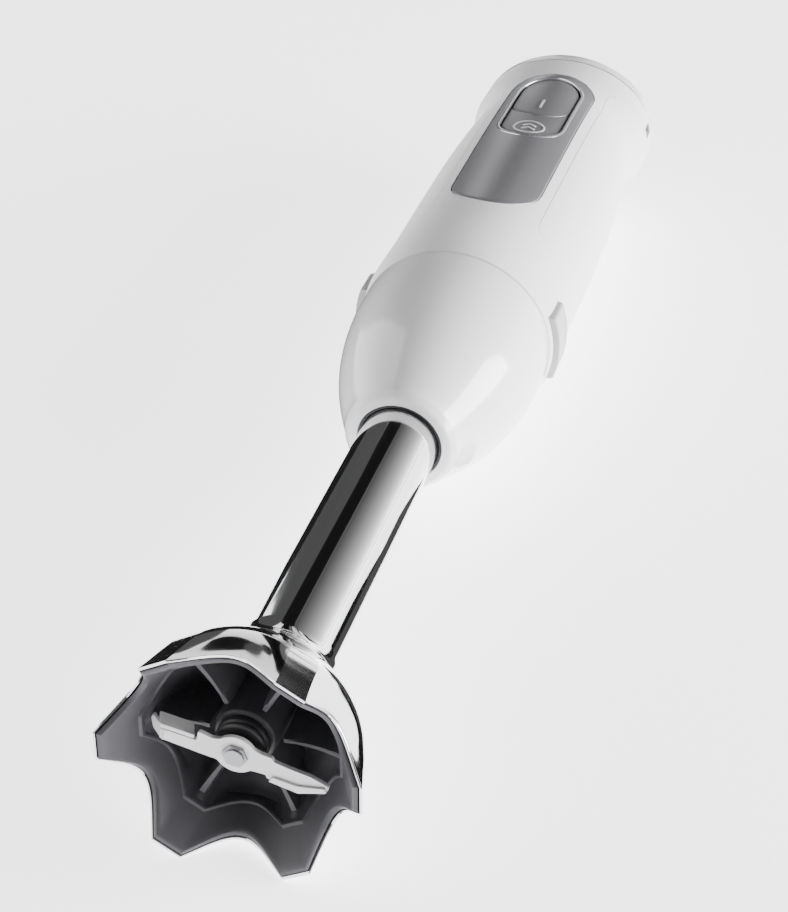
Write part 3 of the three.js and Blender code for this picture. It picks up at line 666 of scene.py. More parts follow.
# Painted highlight: the bead's finish is a lighter copy of the panel's lacquer, standing in for the highlight
# along the bead, and glossier and more metallic as well.
def bead_polish_and_highlight():
    return lined_material("bead_polish_and_highlight", (0.6, 0.6, 0.63), 0.22, 0.85, 2600, 40, 2600, 0.000002, 0.03)


def key_lacquer():
    return plain_material("key_lacquer", colours().keys, 0.38, metallic=0.35, fine=5200, depth=0.000008,
                          spread=0.05)


def key_mark():
    return plain_material("key_mark", (0.7, 0.7, 0.74), 0.3, metallic=0.3, fine=5200, depth=0.000004,
                          spread=0.03)


def black_rubber():
    return plain_material("black_rubber", (0.018, 0.018, 0.02), 0.5, fine=4200, depth=0.000018, spread=0.2)


# Finishes of the inner pieces by slot: colour, roughness, metallic, and the grain's scale and depth in metres
INNER_FINISHES = {
    "black_rubber": ((0.018, 0.018, 0.02), 0.5, 0.0, 4200, 0.000018),
    "dark_plastic": ((0.035, 0.035, 0.038), 0.42, 0.0, 4600, 0.000015),
    "iron": ((0.28, 0.28, 0.3), 0.42, 0.9, 2200, 0.00002),
    "copper": ((0.5, 0.2, 0.09), 0.34, 0.9, 1500, 0.00003),
    "bronze": ((0.42, 0.29, 0.13), 0.44, 0.9, 3800, 0.00002),
    "carbon": ((0.02, 0.02, 0.021), 0.7, 0.0, 5000, 0.00002),
    "board_green": ((0.03, 0.14, 0.05), 0.3, 0.0, 1200, 0.00001),
    "zinc": ((0.55, 0.56, 0.58), 0.34, 1.0, 2600, 0.00001),
}


def inner_finish(slot):
    colour, roughness, metallic, fine, depth = INNER_FINISHES[slot]
    return plain_material(f"inner_{slot}", colour, roughness, metallic=metallic, fine=fine, depth=depth,
                          spread=0.14)


# ---------------------------------------------------------------- bell and liner
def bell_columns(steps, lobe_steps):
    """Columns round the bell, in turn of a panel and a lobe: (kind, middle angle, share across it)."""
    columns = []
    for lobe in range(LOBES):
        middle = (lobe + 1) * TURN / LOBES
        for step in range(steps + 1):
            columns.append(("panel", middle, step / steps))
        for step in range(1, lobe_steps):
            columns.append(("lobe", middle + math.pi / LOBES, step / lobe_steps))
    return columns


def bell_place(column, part, inset, rim_lift=0.0):
    """A point of the bell's skin, drawn in by inset: part runs from the scalloped rim (0) to the neck (1)."""
    kind, middle, share = column
    lobe_half = LOBE_HALF + LOBE_SPREAD * blend_step(part, 0.1, 0.8)
    half = math.pi / LOBES - lobe_half if kind == "panel" else lobe_half
    offset = (2 * share - 1) * half
    arch = math.sin(math.pi * share) if kind == "panel" else 0
    chord = math.cos(half) / math.cos(offset)
    rim = SCALLOP_HEIGHT * arch + rim_lift
    y = rim + (BELL_TOP - rim) * part
    if kind == "panel":
        flat = 1 - blend_step(part, 0, FLAT_SHARE)
    else:
        flat = 1 - blend_step(part, 0.6, 0.9)
    slope = reading(BELL_CURVE, y + 0.2) - reading(BELL_CURVE, max(y - 0.2, 0))
    slope /= 0.4 if y > 0.2 else y + 0.2
    length = math.hypot(1, slope)
    radius = reading(BELL_CURVE, y) * chord ** flat - inset / length
    return polar(radius, middle + offset, y + (inset * slope / length if part > 0 else 0))


def bell_mesh(sheet):
    columns = bell_columns(28, 6)
    parts = [(i / 44) ** 1.15 for i in range(45)]
    outside = [[bell_place(column, part, 0) for column in columns] for part in parts[1:]]
    inside = [[bell_place(column, part, sheet) for column in columns] for part in parts[1:]]
    rim = [
        [bell_place(column, 0, inset, lift) for column in columns]
        for inset, lift in (
            (0, BELL_EDGE), (BELL_EDGE * 0.3, BELL_EDGE * 0.3), (sheet / 2, 0),
            (sheet - BELL_EDGE * 0.3, BELL_EDGE * 0.3), (sheet, BELL_EDGE))
    ]
    return skinned("steel_bell", [*reversed(inside), *reversed(rim), *outside], sharp=9)


def column_angle(column):
    """Angle of a bell column, and how far its straight panel or lobe lies out there against its corners."""
    kind, middle, share = column
    half = math.pi / LOBES - LOBE_HALF if kind == "panel" else LOBE_HALF
    offset = (2 * share - 1) * half
    return middle + offset, math.cos(half) / math.cos(offset)


def column_arch(column):
    """Height of the scallop over a bell column, from 0 at the lobes to 1."""
    kind, _middle, share = column
    return math.sin(math.pi * share) if kind == "panel" else 0


def crease_ring(columns, radius, y):
    """A ring of straight panels that rises with the scallops."""
    ring = []
    for column in columns:
        angle, chord = column_angle(column)
        ring.append(polar(radius * chord, angle, y + CREASE_RISE * column_arch(column)))
    return ring


def chamber_place(angle, radius, y):
    """A point of the ceiling, which has a rounded rib down to RIB_EDGE at every lobe."""
    from_lobe = (angle + math.pi / LOBES) % (TURN / LOBES)
    from_lobe = min(from_lobe, TURN / LOBES - from_lobe) * radius
    rib = 1 - blend_step(from_lobe, RIB_HALF * 0.55, RIB_HALF * 1.7)
    return polar(radius, angle, y + (RIB_EDGE + (y - RIB_EDGE) * 0.12 - y) * rib)


def chamber_ring(columns, part):
    """A ring of the ceiling: part runs from the crease (0) to the boss (1)."""
    radius = CHAMBER_OUTER - (CHAMBER_OUTER - CHAMBER_INNER) * part
    y = CHAMBER_START + (CEILING - CHAMBER_START) * math.sin(math.pi / 2 * min(part * 1.45, 1)) ** 0.85
    lift = CREASE_RISE * (1 - blend_step(part, 0, 0.35)) * 0.7
    return [
        chamber_place(column_angle(column)[0], radius, min(y + lift * column_arch(column), CEILING))
        for column in columns
    ]


def liner_mesh():
    """The charcoal moulding: rim, sloping wall, crease, ribbed chamber ceiling and boss."""
    columns = bell_columns(28, 8)
    outside = [[bell_place(column, part, LINER_INSET, 0.35) for column in columns] for part in LINER_OUTSIDE]
    rim = [
        [bell_place(column, 0, LINER_INSET + inset, lift) for column in columns]
        for inset, lift in LINER_RIM
    ]
    foot = crease_ring(columns, CREASE_RADIUS + 0.4, CREASE_Y - 0.6)
    wall = [[first.lerp(final, part) for first, final in zip(rim[-1], foot)] for part in LINER_WALL]
    ridge = [crease_ring(columns, CREASE_RADIUS + out, CREASE_Y + rise) for out, rise in LINER_RIDGE]
    ceiling = [chamber_ring(columns, step / 21) for step in range(1, 22)]
    boss = [[polar(radius, column_angle(column)[0], y) for column in columns] for radius, y in LINER_BOSS]
    return skinned("bell_liner_moulding", [*outside, *rim, *wall, *ridge, *ceiling, *boss], sharp=28)


# ---------------------------------------------------------------- blade
def on_blade(x, z, y):
    """A point of the blade, drawn along X, turned about the drive axis to where it stopped."""
    cos, sin = math.cos(BLADE_TURN), math.sin(BLADE_TURN)
    return axis_point(x * cos + z * sin, y, -x * sin + z * cos)


def hub_arc(start, end):
    """Part of the blade's round hub, from one angle in degrees to another."""
    angles = [(start + (end - start) * i / 10) * DEG for i in range(11)]
    return [(BLADE_HUB * math.cos(angle), BLADE_HUB * math.sin(angle)) for angle in angles]


def hexagon(radius):
    return [(radius * math.cos(i * TURN / 6), radius * math.sin(i * TURN / 6)) for i in range(6)]


def blade_cup(u, v, w):
    """A place on the cup's floor, which leans up from the end of the left wing."""
    x = BLADE_CUP_START - u * math.cos(BLADE_CUP_LEAN)
    return on_blade(x, v, BLADE_PLANE + u * math.sin(BLADE_CUP_LEAN) + w)


def blade_wall(u, v, w):
    """A place on the wall that stands up along the left wing."""
    return on_blade(-u, 0.5 + w, BLADE_PLANE + v)


def blade_flap(u, v, w):
    """A place on the flap that is folded at the right wing."""
    return on_blade(u, v - w * BLADE_FLAP_LEAN, BLADE_PLANE - 0.75 + w)


def blade_mesh():
    """A stamped blade: a round hub with a six-sided hole, a cupped wing and a wing with a folded flap."""
    outline = [*hub_arc(38, 142), *BLADE_CUP_WING, *hub_arc(218, 322), *BLADE_FLAP_WING]
    flat = plate(
        "winged_blade", softened(outline, 0.6, steps=2), BLADE_PLANE, BLADE_PLANE + BLADE_SHEET, on_blade)
    bent = [
        plate("cup", softened(BLADE_CUP, 0.8, steps=3), 0, BLADE_SHEET, blade_cup),
        plate("wall", softened(BLADE_WALL, 0.5, steps=2), 0, BLADE_SHEET, blade_wall),
        plate("flap", softened(BLADE_FLAP, 0.3, steps=2), 0, BLADE_SHEET, blade_flap),
    ]
    joined = combined(flat, bent, "UNION")
    return combined(joined, [plate("hole", hexagon(BLADE_HOLE), 0, 20, on_blade, 0)], "DIFFERENCE")


def nut_mesh():
    return plate("blade_lock_nut", softened(hexagon(NUT_RADIUS), 0.3), NUT_START, NUT_END, on_blade)


# ---------------------------------------------------------------- handle
def handle_radius(y, angle, inset=0.0):
    """The oval section of the handle, cut flat where the palm swell rests on the table."""
    upright = math.cos(angle)
    height = reading(FRONT_REACH if upright > 0 else BACK_REACH, y)
    radius = 1 / math.hypot(math.sin(angle) / reading(SIDE_REACH, y), upright / height)
    if upright < -0.5:
        radius = min(radius, -REST_LEVEL / upright)
    return radius - inset


def handle_place(y, angle, inset=0.0):
    return polar(handle_radius(y, angle, inset), angle, y)


def handle_height(x, y):
    """Height of the key side above the drive axis."""
    return reading(FRONT_REACH, y) * math.sqrt(1 - (x / reading(SIDE_REACH, y)) ** 2)


def handle_normal(y, angle):
    along = handle_place(y + 0.1, angle) - handle_place(y - 0.1, angle)
    around = handle_place(y, angle + 0.002) - handle_place(y, angle - 0.002)
    return along.cross(around).normalized()


def stations(start, end, step=2.0):
    count = max(int((end - start) / step), 1)
    return [start + (end - start) * i / count for i in range(count + 1)]


def handle_body(name):
    """The whole skin of the handle between its two seams, as a tube of the wall's thickness."""
    start, end = SHELL_START, CAP_SEAM
    angles = [i * TURN / HANDLE_SEGMENTS for i in range(HANDLE_SEGMENTS)]

    def ring(y, inset=0):
        return [handle_place(y, angle, inset) for angle in angles]

    levels = stations(start, end)
    rings = [ring(start, HANDLE_EDGE), ring(start + HANDLE_EDGE)]
    rings += [ring(y) for y in levels[1:-1]]
    rings += [ring(end - HANDLE_EDGE), ring(end, HANDLE_EDGE)]
    rings += [ring(y, SHELL_WALL) for y in reversed(levels)]
    return skinned(name, rings)


def grip_edge(y, margin):
    """Angle of the grip's edge at y: straight along the handle, then curving away at both ends."""
    lower = (GRIP_START + GRIP_LOWER_CURVE - y) / GRIP_LOWER_CURVE
    upper = (y - GRIP_END + GRIP_UPPER_CURVE) / GRIP_UPPER_CURVE
    part = min(max(lower, upper, 0), 1)
    straight = math.asin((GRIP_EDGE_REACH + margin) / handle_radius(y, 38 * DEG))
    corner = GRIP_CORNER + margin / handle_radius(y, GRIP_CORNER)
    return straight + (corner - straight) * (1 - math.sqrt(1 - part * part))


def grip_wedge(name, margin):
    """The space of the rear grip, drawn in by margin, as a solid that reaches past the skin."""
    shares = [math.sin(math.pi / 2 * i / 14) ** 2 for i in range(15)]
    lower = [GRIP_START + margin + share * (GRIP_LOWER_CURVE - margin) for share in shares]
    upper = [GRIP_END - margin - share * (GRIP_UPPER_CURVE - margin) for share in reversed(shares)]
    rings = []
    for y in lower + stations(lower[-1], upper[0], 4)[1:-1] + upper:
        edge = grip_edge(y, margin)
        arc_points = [polar(60, edge + (TURN - 2 * edge) * i / 40, y) for i in range(41)]
        rings.append([axis_point(0, y, 0), *arc_points])
    return skinned(name, rings, closed=False)


def arched_outline(area, grow=0.0):
    """Long outline in (x, y): round bottom, straight sides, arched top, anticlockwise from the left side."""
    bends = [math.pi * i / 16 for i in range(16)]
    shares = [i / 10 for i in range(10)]
    half = area["half"]
    reach = half + grow
    rise = area["rise"] + grow
    low = area["start"] + half
    high = area["end"] - area["rise"]
    bottom = [(-reach * math.cos(bend), low - reach * math.sin(bend)) for bend in bends]
    right = [(reach, low + (high - low) * share) for share in shares]
    top = [(reach * math.cos(bend), high + rise * math.sin(bend)) for bend in bends]
    left = [(-reach, high + (low - high) * share) for share in shares]
    return bottom + right + top + left


def outline_solid(name, outline, low=TOOL_LOW, high=TOOL_HIGH):
    """An upright solid of an outline in (x, y), by default one that reaches through the key side."""
    rings = [[axis_point(x, y, z) for x, y in outline] for z in (low, high)]
    return skinned(name, rings, closed=False)


def fair_normals(piece):
    """Gives the handle's skin the normals of its formula, so that cuts leave no shading marks."""
    mesh = piece.data
    normals = [Vector(corner.vector) for corner in mesh.corner_normals]
    cache = {}
    for polygon in mesh.polygons:
        for loop in polygon.loop_indices:
            vertex = mesh.loops[loop].vertex_index
            if vertex not in cache:
                x, y, z = drawn_place(mesh.vertices[vertex].co)
                angle = math.atan2(x, z)
                on_skin = abs(math.hypot(x, z) - handle_radius(y, angle)) < 0.06
                cache[vertex] = handle_normal(y, angle) if on_skin else None
            if cache[vertex] is not None and cache[vertex].dot(polygon.normal) > 0.9:
                normals[loop] = cache[vertex]
    mesh.normals_split_custom_set([tuple(normal) for normal in normals])


def box_outline(middle, half, start, end):
    return [(middle - half, start), (middle + half, start), (middle + half, end), (middle - half, end)]


def shell_cuts(gap):
    """The solids of the panel's pocket, the keys' window, the release windows and the latch slots."""
    pocket = outline_solid("pocket", arched_outline(PANEL, gap * 1.6))
    combined(pocket, [handle_core("pocket_floor", POCKET_DEPTH)], "DIFFERENCE")
    window = outline_solid("window", arched_outline(KEYS, WINDOW_GROW))
    slots = box_outline(0, 50, RELEASE_START - gap, RELEASE_END + gap)
    release = outline_solid("release_windows", slots, -RELEASE_HALF - gap, RELEASE_HALF + gap)
    latches = [
        outline_solid("latch", box_outline(x, LATCH_HALF, LATCH_START, LATCH_END), LATCH_LOW, LATCH_HIGH)
        for x in (-LATCH_REACH, LATCH_REACH)
    ]
    return [pocket, window, release, *latches]


def shell_mesh(gap):
    """The front of the handle, with painted shade: dark in the panel's pocket and grey in the latch slots."""
    shell = handle_body("white_front_shell")
    combined(shell, [grip_wedge("grip_space", 0), *shell_cuts(gap)], "DIFFERENCE")
    fair_normals(shell)
    for material in (white_gloss(), seam_shade(), pale_grey()):
        shell.data.materials.append(material)
    for polygon in shell.data.polygons:
        x, y, z = drawn_place(polygon.center)
        if math.hypot(x, z) >= handle_radius(y, math.atan2(x, z)) - POCKET_SHADE_DEPTH:
            continue
        # Painted shade: faces down in the panel's pocket get the dark seam finish.
        if abs(x) < PANEL["half"] + 1 and z > 20 and PANEL["start"] - 1 < y < PANEL["end"] + 1:
            polygon.material_index = 1
        # Painted shade: faces down in the latch slots are painted pale grey.
        if abs(x) > LATCH_REACH - 2.4 and y > LATCH_START - 1:
            polygon.material_index = 2
    return shell


def handle_core(name, inset):
    """The solid inside the handle's skin, drawn in by inset."""
    levels = stations(SHELL_START - 2, CAP_SEAM + 2, 3)
    rings = [[handle_place(y, i * TURN / 96, inset) for i in range(96)] for y in levels]
    return skinned(name, rings, closed=False)


def grip_mesh(gap):
    """The back of the handle, which fills the grip's space but for the seam."""
    grip = handle_body("soft_rear_grip")
    combined(grip, [grip_wedge("grip_space", gap)], "INTERSECT")
    fair_normals(grip)
    return grip


def cap_mesh(gap):
    """The end cap: a full oval shoulder, a low dome and a round mouth for the cord's gland."""
    angles = [i * TURN / HANDLE_SEGMENTS for i in range(HANDLE_SEGMENTS)]

    def drawn_in(inset, height):
        return [handle_place(CAP_SEAM, angle, inset) + Vector((0, height * MM, 0)) for angle in angles]

    def scaled(scale, height):
        y = CAP_SEAM + height
        return [polar(handle_radius(CAP_SEAM, angle) * scale, angle, y) for angle in angles]

    def turned_ring(radius, depth):
        return [polar(radius, angle, OVERALL_LENGTH - depth) for angle in angles]

    rings = [drawn_in(CAP_EDGE, gap), drawn_in(0, gap + CAP_EDGE)]
    rings += [drawn_in(inset, height) for inset, height in CAP_SIDE]
    rings += [scaled(scale, height) for scale, height in CAP_DOME]
    rings += [turned_ring(radius, depth) for radius, depth in CAP_MOUTH]
    rings += [scaled(scale, height) for scale, height in CAP_INSIDE]
    rings.append(drawn_in(CAP_WALL, gap))
    cap = skinned("white_top_cap", rings)
    cap.data.materials.append(white_gloss())
    cap.data.materials.append(seam_shade())
    # Painted shade: the faces at the bottom of the seam groove get the dark seam finish, for the shade that
    # falls in the groove.
    groove_end = FOOT_END + (CAP_SEAM + gap + CAP_EDGE / 2) * MM
    for polygon in cap.data.polygons:
        if polygon.center.y < groove_end:
            polygon.material_index = 1
    return cap


# ---------------------------------------------------------------- panel and keys
def panel_mesh(gap, bead):
    """The panel: soft outer edge, a skin that follows the handle, and a bead round the keys' window."""
    def ring(outline, lift):
        return [axis_point(x, y, handle_height(x, y) + lift) for x, y in outline]

    edge = ((0, -1.7), (0, -0.2), (0.06, -0.06), (0.2, 0.02))  # inset, lift
    frame_edge = (  # step out from the window, lift
        (1.45, 0.02), (1.3, bead * 0.7), (1.05, bead), (0.75, bead), (0.5, bead * 0.7), (0.3, -0.1),
        (0.25, -1.7))
    rings = [ring(arched_outline(PANEL, -gap - inset), lift) for inset, lift in edge]
    outer = arched_outline(PANEL, -gap - 0.2)
    inner = arched_outline(KEYS, 1.55)
    for step in range(1, 26):
        part = step / 25
        between = [(a[0] + (b[0] - a[0]) * part, a[1] + (b[1] - a[1]) * part) for a, b in zip(outer, inner)]
        rings.append(ring(between, 0.02))
    rings += [ring(arched_outline(KEYS, grow), lift) for grow, lift in frame_edge]
    panel = skinned("satin_panel", rings, sharp=40)
    for material in (panel_lacquer(), bead_polish_and_highlight(), seam_shade()):
        panel.data.materials.append(material)
    bead_start = (len(rings) - len(frame_edge) - 1) * len(outer)
    bead_end = (len(rings) - 2) * len(outer)
    for polygon in panel.data.polygons:
        # Painted highlight: the bead's faces get the lighter copy of the lacquer for the highlight they
        # catch, glossier and more metallic as well.
        if bead_start <= polygon.index < bead_end:
            polygon.material_index = 1
        # Painted shade: the panel's side wall, down in the seam, is painted dark.
        if polygon.index < len(outer):
            polygon.material_index = 2
    return panel


def key_grid(lower, upper, margin):
    """Rows of (x, y) between a key's two curves, closer together at its sides."""
    reach = KEYS["half"] - KEY_GAP - margin
    across = [-reach * math.cos(math.pi * i / KEY_COLUMNS) for i in range(KEY_COLUMNS + 1)]
    return [
        [(x, lower(x, margin) + (upper(x, margin) - lower(x, margin)) * j / KEY_ROWS) for x in across]
        for j in range(KEY_ROWS + 1)
    ]


def key_border(grid):
    bottom = grid[0][:-1]
    right = [row[-1] for row in grid[:-1]]
    top = grid[-1][:0:-1]
    left = [row[0] for row in grid[:0:-1]]
    return bottom + right + top + left


def key_patch(name, lower, upper, sink, crown):
    """A key between the curves lower(x, margin) and upper(x, margin), with round edges and a slight crown."""
    points = []
    faces = []
    for margin, lift in KEY_EDGE:
        border = key_border(key_grid(lower, upper, margin))
        points += [axis_point(x, y, handle_height(x, y) - sink + lift) for x, y in border]
    count = 2 * (KEY_COLUMNS + KEY_ROWS)
    for low in range(0, (len(KEY_EDGE) - 1) * count, count):
        high = low + count
        faces += [(low + i, low + (i + 1) % count, high + (i + 1) % count, high + i) for i in range(count)]
    start = len(points)
    for j, row in enumerate(key_grid(lower, upper, KEY_EDGE[-1][0])):
        for i, (x, y) in enumerate(row):
            rise = crown * math.sin(math.pi * i / KEY_COLUMNS) * math.sin(math.pi * j / KEY_ROWS)
            points.append(axis_point(x, y, handle_height(x, y) - sink + rise))
    wide = KEY_COLUMNS + 1
    for j in range(KEY_ROWS):
        for i in range(KEY_COLUMNS):
            low = start + j * wide + i
            faces.append((low, low + 1, low + wide + 1, low + wide))
    faces.append(tuple(reversed(range(count))))
    piece = mesh_object(name, points, faces, 40)
    welded(piece)
    return facing_out(piece)


def welded(piece):
    """Merges vertices that lie on each other."""
    modifier = piece.modifiers.new("weld", "WELD")
    modifier.merge_threshold = 0.000001
    with bpy.context.temp_override(object=piece, active_object=piece):
        bpy.ops.object.modifier_apply(modifier=modifier.name)


def window_low(x, margin):
    """The window's round bottom, moved in by margin."""
    reach = KEYS["half"] - KEY_GAP - margin
    return KEYS["start"] + KEYS["half"] - math.sqrt(max(reach * reach - x * x, 0))


def window_high(x, margin):
    """The window's arched top, moved in by margin."""
    reach = KEYS["half"] - KEY_GAP - margin
    return KEYS["end"] - KEYS["rise"] + math.sqrt(max(reach * reach - x * x, 0))


def split_below(x, margin):
    """The turbo key's upper edge, a curve across the window."""
    reach = KEYS["half"] + KEY_GAP / 2 + margin
    return KEYS["start"] + KEYS["half"] + KEY_SPLIT - math.sqrt(reach * reach - x * x)


def split_above(x, margin):
    """The speed key's lower edge, above that curve."""
    reach = KEYS["half"] - KEY_GAP / 2 - margin
    return KEYS["start"] + KEYS["half"] + KEY_SPLIT - math.sqrt(max(reach * reach - x * x, 0))


def stroke(name, path, width, sink, closed=False):
    """A thin raised line on a key, along a path in (x, y)."""
    count = len(path)
    rings = []
    for i, (x, y) in enumerate(path):
        before = Vector(path[i - 1 if closed or i else 0])
        after = Vector(path[(i + 1) % count if closed or i < count - 1 else i])
        direction = (after - before).normalized()
        side = Vector((-direction.y, direction.x)) * width / 2
        section = []
        for k in range(8):
            angle = TURN * k / 8
            px, py = x + side.x * math.cos(angle), y + side.y * math.cos(angle)
            lift = 0.16 * math.sin(angle) - sink + 0.1
            section.append(axis_point(px, py, handle_height(px, py) + lift))
        rings.append(section)
    return skinned(name, rings, closed=closed)


def speed_bar(sink):
    """A short upright bar on the speed key."""
    path = [(0, SPEED_BAR_START + SPEED_BAR_LENGTH * i / 9) for i in range(10)]
    return stroke("speed_mark", path, 0.9, sink - 0.28)


def turbo_ring(sink):
    """An oval ring on the turbo key."""
    angles = [TURN * i / 48 for i in range(48)]
    path = [
        (TURBO_RING_WIDE * math.cos(angle), TURBO_RING_MIDDLE + TURBO_RING_LONG * math.sin(angle))
        for angle in angles
    ]
    return stroke("turbo_ring", path, 0.75, sink - 0.1, closed=True)


def turbo_chevron(name, middle, sink):
    path = [(CHEVRON_HALF * (i - 5) / 5, middle + CHEVRON_RISE * (1 - abs(i - 5) / 5)) for i in range(11)]
    return stroke(name, path, 0.6, sink - 0.16)


# ---------------------------------------------------------------- release keys
def release_mesh(side):
    """A curved plate with a shallow dish for the thumb, its edges parallel to its travel."""
    middle = (RELEASE_START + RELEASE_END) / 2
    reach = (RELEASE_END - RELEASE_START) / 2
    across = [-1 + i / 6 for i in range(13)]
    rings = []
    for i in range(33):
        z = -RELEASE_HALF * math.cos(math.pi * i / 32)
        inner = math.sqrt(RELEASE_INNER ** 2 - z * z)
        outer = math.sqrt(RELEASE_OUTER ** 2 - z * z)
        outer -= 0.55 * (1 - math.sqrt(1 - blend_step(abs(z), RELEASE_HALF - 0.6, RELEASE_HALF) ** 2))
        dish = RELEASE_DISH * (1 - blend_step(abs(z), RELEASE_HALF * 0.5, RELEASE_HALF * 0.85))
        section = [(inner, middle - reach), (inner, middle + reach)]
        section += [(outer - drop, middle + reach - inset) for inset, drop in RELEASE_EDGE]
        section += [(outer - dish * (1 - share ** 4), middle - share * (reach - 0.8)) for share in across]
        section += [(outer - drop, middle - reach + inset) for inset, drop in reversed(RELEASE_EDGE)]
        rings.append([axis_point(side * x, y, z) for x, y in section])
    return skinned(f"release_key_{'right' if side > 0 else 'left'}", rings, closed=False, sharp=35)


# ---------------------------------------------------------------- operators
class OBJECT_OT_steel_bell(bpy.types.Operator):
    """Make the scalloped steel bell of the foot"""
    bl_idname = "blender_part.steel_bell"
    bl_label = "Steel bell"

    def execute(self, context):
        bell = bell_mesh(sizes().sheet / MM)
        finished(bell, mirror_steel(), "blending_shaft", "mirror_steel", "bell_housing")
        return {"FINISHED"}


class OBJECT_OT_bell_liner(bpy.types.Operator):
    """Make the ribbed liner inside the bell and the ringed seal at its boss"""
    bl_idname = "blender_part.bell_liner"
    bl_label = "Bell liner and seal"

    def execute(self, context):
        finished(liner_mesh(), charcoal(), "blending_shaft", "charcoal", "bell_liner")
        seal = turned("ringed_shaft_seal", SEAL_PROFILE, 0.2)
        finished(seal, black_rubber(), "blending_shaft", "black_rubber", "shaft_seal")
        return {"FINISHED"}


class OBJECT_OT_steel_tube(bpy.types.Operator):
    """Make the polished tube and the dark ring where it enters the cone"""
    bl_idname = "blender_part.steel_tube"
    bl_label = "Steel tube and ring"

    def execute(self, context):
        tube = turned("polished_tube", TUBE_PROFILE, 0.2, 128)
        finished(tube, mirror_steel(), "blending_shaft", "mirror_steel", "steel_tube")
        ring = turned("tube_entry_ring", TUBE_RING_PROFILE, 0.3)
        finished(ring, black_rubber(), "blending_shaft", "black_rubber", "tube_ring")
        return {"FINISHED"}


class OBJECT_OT_coupling_cone(bpy.types.Operator):
    """Make the white cone that carries the tube and pushes onto the motor unit"""
    bl_idname = "blender_part.coupling_cone"
    bl_label = "Coupling cone"

    def execute(self, context):
        outside = [(reading(CONE_OUTSIDE, y), y) for y in stations(CONE_START + 0.35, SEAM - 0.3, 1.6)]
        lip = [(CONE_BORE, 147.4), (CONE_BORE + 0.1, CONE_START + 0.15), (CONE_BORE + 0.35, CONE_START)]
        profile = [*lip, (14.9, CONE_START), *outside, *CONE_INSIDE]
        cone = turned("white_coupling_cone", profile, 0.2, 144)
        finished(cone, white_gloss(), "blending_shaft", "white_gloss", "coupling_cone")
        return {"FINISHED"}


class OBJECT_OT_front_shell(bpy.types.Operator):
    """Make the glossy front shell with its pocket, windows and latch slots"""
    bl_idname = "blender_part.front_shell"
    bl_label = "Front shell"

    def execute(self, context):
        shell = shell_mesh(sizes().seam_gap / MM)
        finished(shell, white_gloss(), "motor_unit", "white_gloss", "front_shell")
        return {"FINISHED"}


class OBJECT_OT_rear_grip(bpy.types.Operator):
    """Make the soft-touch back of the handle"""
    bl_idname = "blender_part.rear_grip"
    bl_label = "Rear grip"

    def execute(self, context):
        finished(grip_mesh(sizes().seam_gap / MM), white_soft(), "motor_unit", "white_soft", "rear_grip")
        return {"FINISHED"}


class OBJECT_OT_top_cap(bpy.types.Operator):
    """Make the domed end cap and the ribbed gland of the cord"""
    bl_idname = "blender_part.top_cap"
    bl_label = "Top cap and gland"

    def execute(self, context):
        finished(cap_mesh(CAP_GAP), white_gloss(), "motor_unit", "white_gloss", "top_cap")
        gland = turned("cord_gland_sleeve", GLAND_PROFILE, 0.15, 64)
        finished(gland, pale_grey(), "motor_unit", "pale_grey", "cord_gland")
        return {"FINISHED"}


class OBJECT_OT_control_panel(bpy.types.Operator):
    """Make the satin panel with the bead round the keys"""
    bl_idname = "blender_part.control_panel"
    bl_label = "Control panel"

    def execute(self, context):
        panel = panel_mesh(sizes().seam_gap / MM, sizes().bead_height / MM)
        finished(panel, panel_lacquer(), "motor_unit", "panel_grey", "control_panel")
        return {"FINISHED"}


class OBJECT_OT_keys(bpy.types.Operator):
    """Make the speed key and the turbo key with their generic marks"""
    bl_idname = "blender_part.keys"
    bl_label = "Keys"

    def execute(self, context):
        sink = sizes().key_sink / MM
        speed = key_patch("speed_key_cap", split_above, window_high, sink, 0.25)
        finished(speed, key_lacquer(), "speed_key", "button_grey", "speed_button")
        turbo = key_patch("turbo_key_cap", window_low, split_below, sink, 0.15)
        finished(turbo, key_lacquer(), "turbo_key", "button_grey", "turbo_button")
        finished(speed_bar(sink), key_mark(), "speed_key", "button_grey")
        finished(turbo_ring(sink), key_mark(), "turbo_key", "button_grey")
        for i, middle in enumerate(CHEVRON_MIDDLES):
            chevron = turbo_chevron(f"turbo_chevron_{i + 1}", middle, sink)
            finished(chevron, key_mark(), "turbo_key", "button_grey")
        return {"FINISHED"}


class OBJECT_OT_release_keys(bpy.types.Operator):
    """Make the two release keys on the collar"""
    bl_idname = "blender_part.release_keys"
    bl_label = "Release keys"

    def execute(self, context):
        for side, name in ((-1, "left"), (1, "right")):
            key = release_mesh(side)
            finished(key, pale_grey(), f"release_{name}", "pale_grey", f"release_button_{name}")
        return {"FINISHED"}


class OBJECT_OT_blade(bpy.types.Operator):
    """Make the winged blade and its nut"""
    bl_idname = "blender_part.blade"
    bl_label = "Blade and nut"

    def execute(self, context):
        finished(blade_mesh(), blade_steel(), "drive_line", "blade_steel", "blade")
        finished(nut_mesh(), inner_finish("iron"), "drive_line", "blade_steel", "blade_nut")
        return {"FINISHED"}


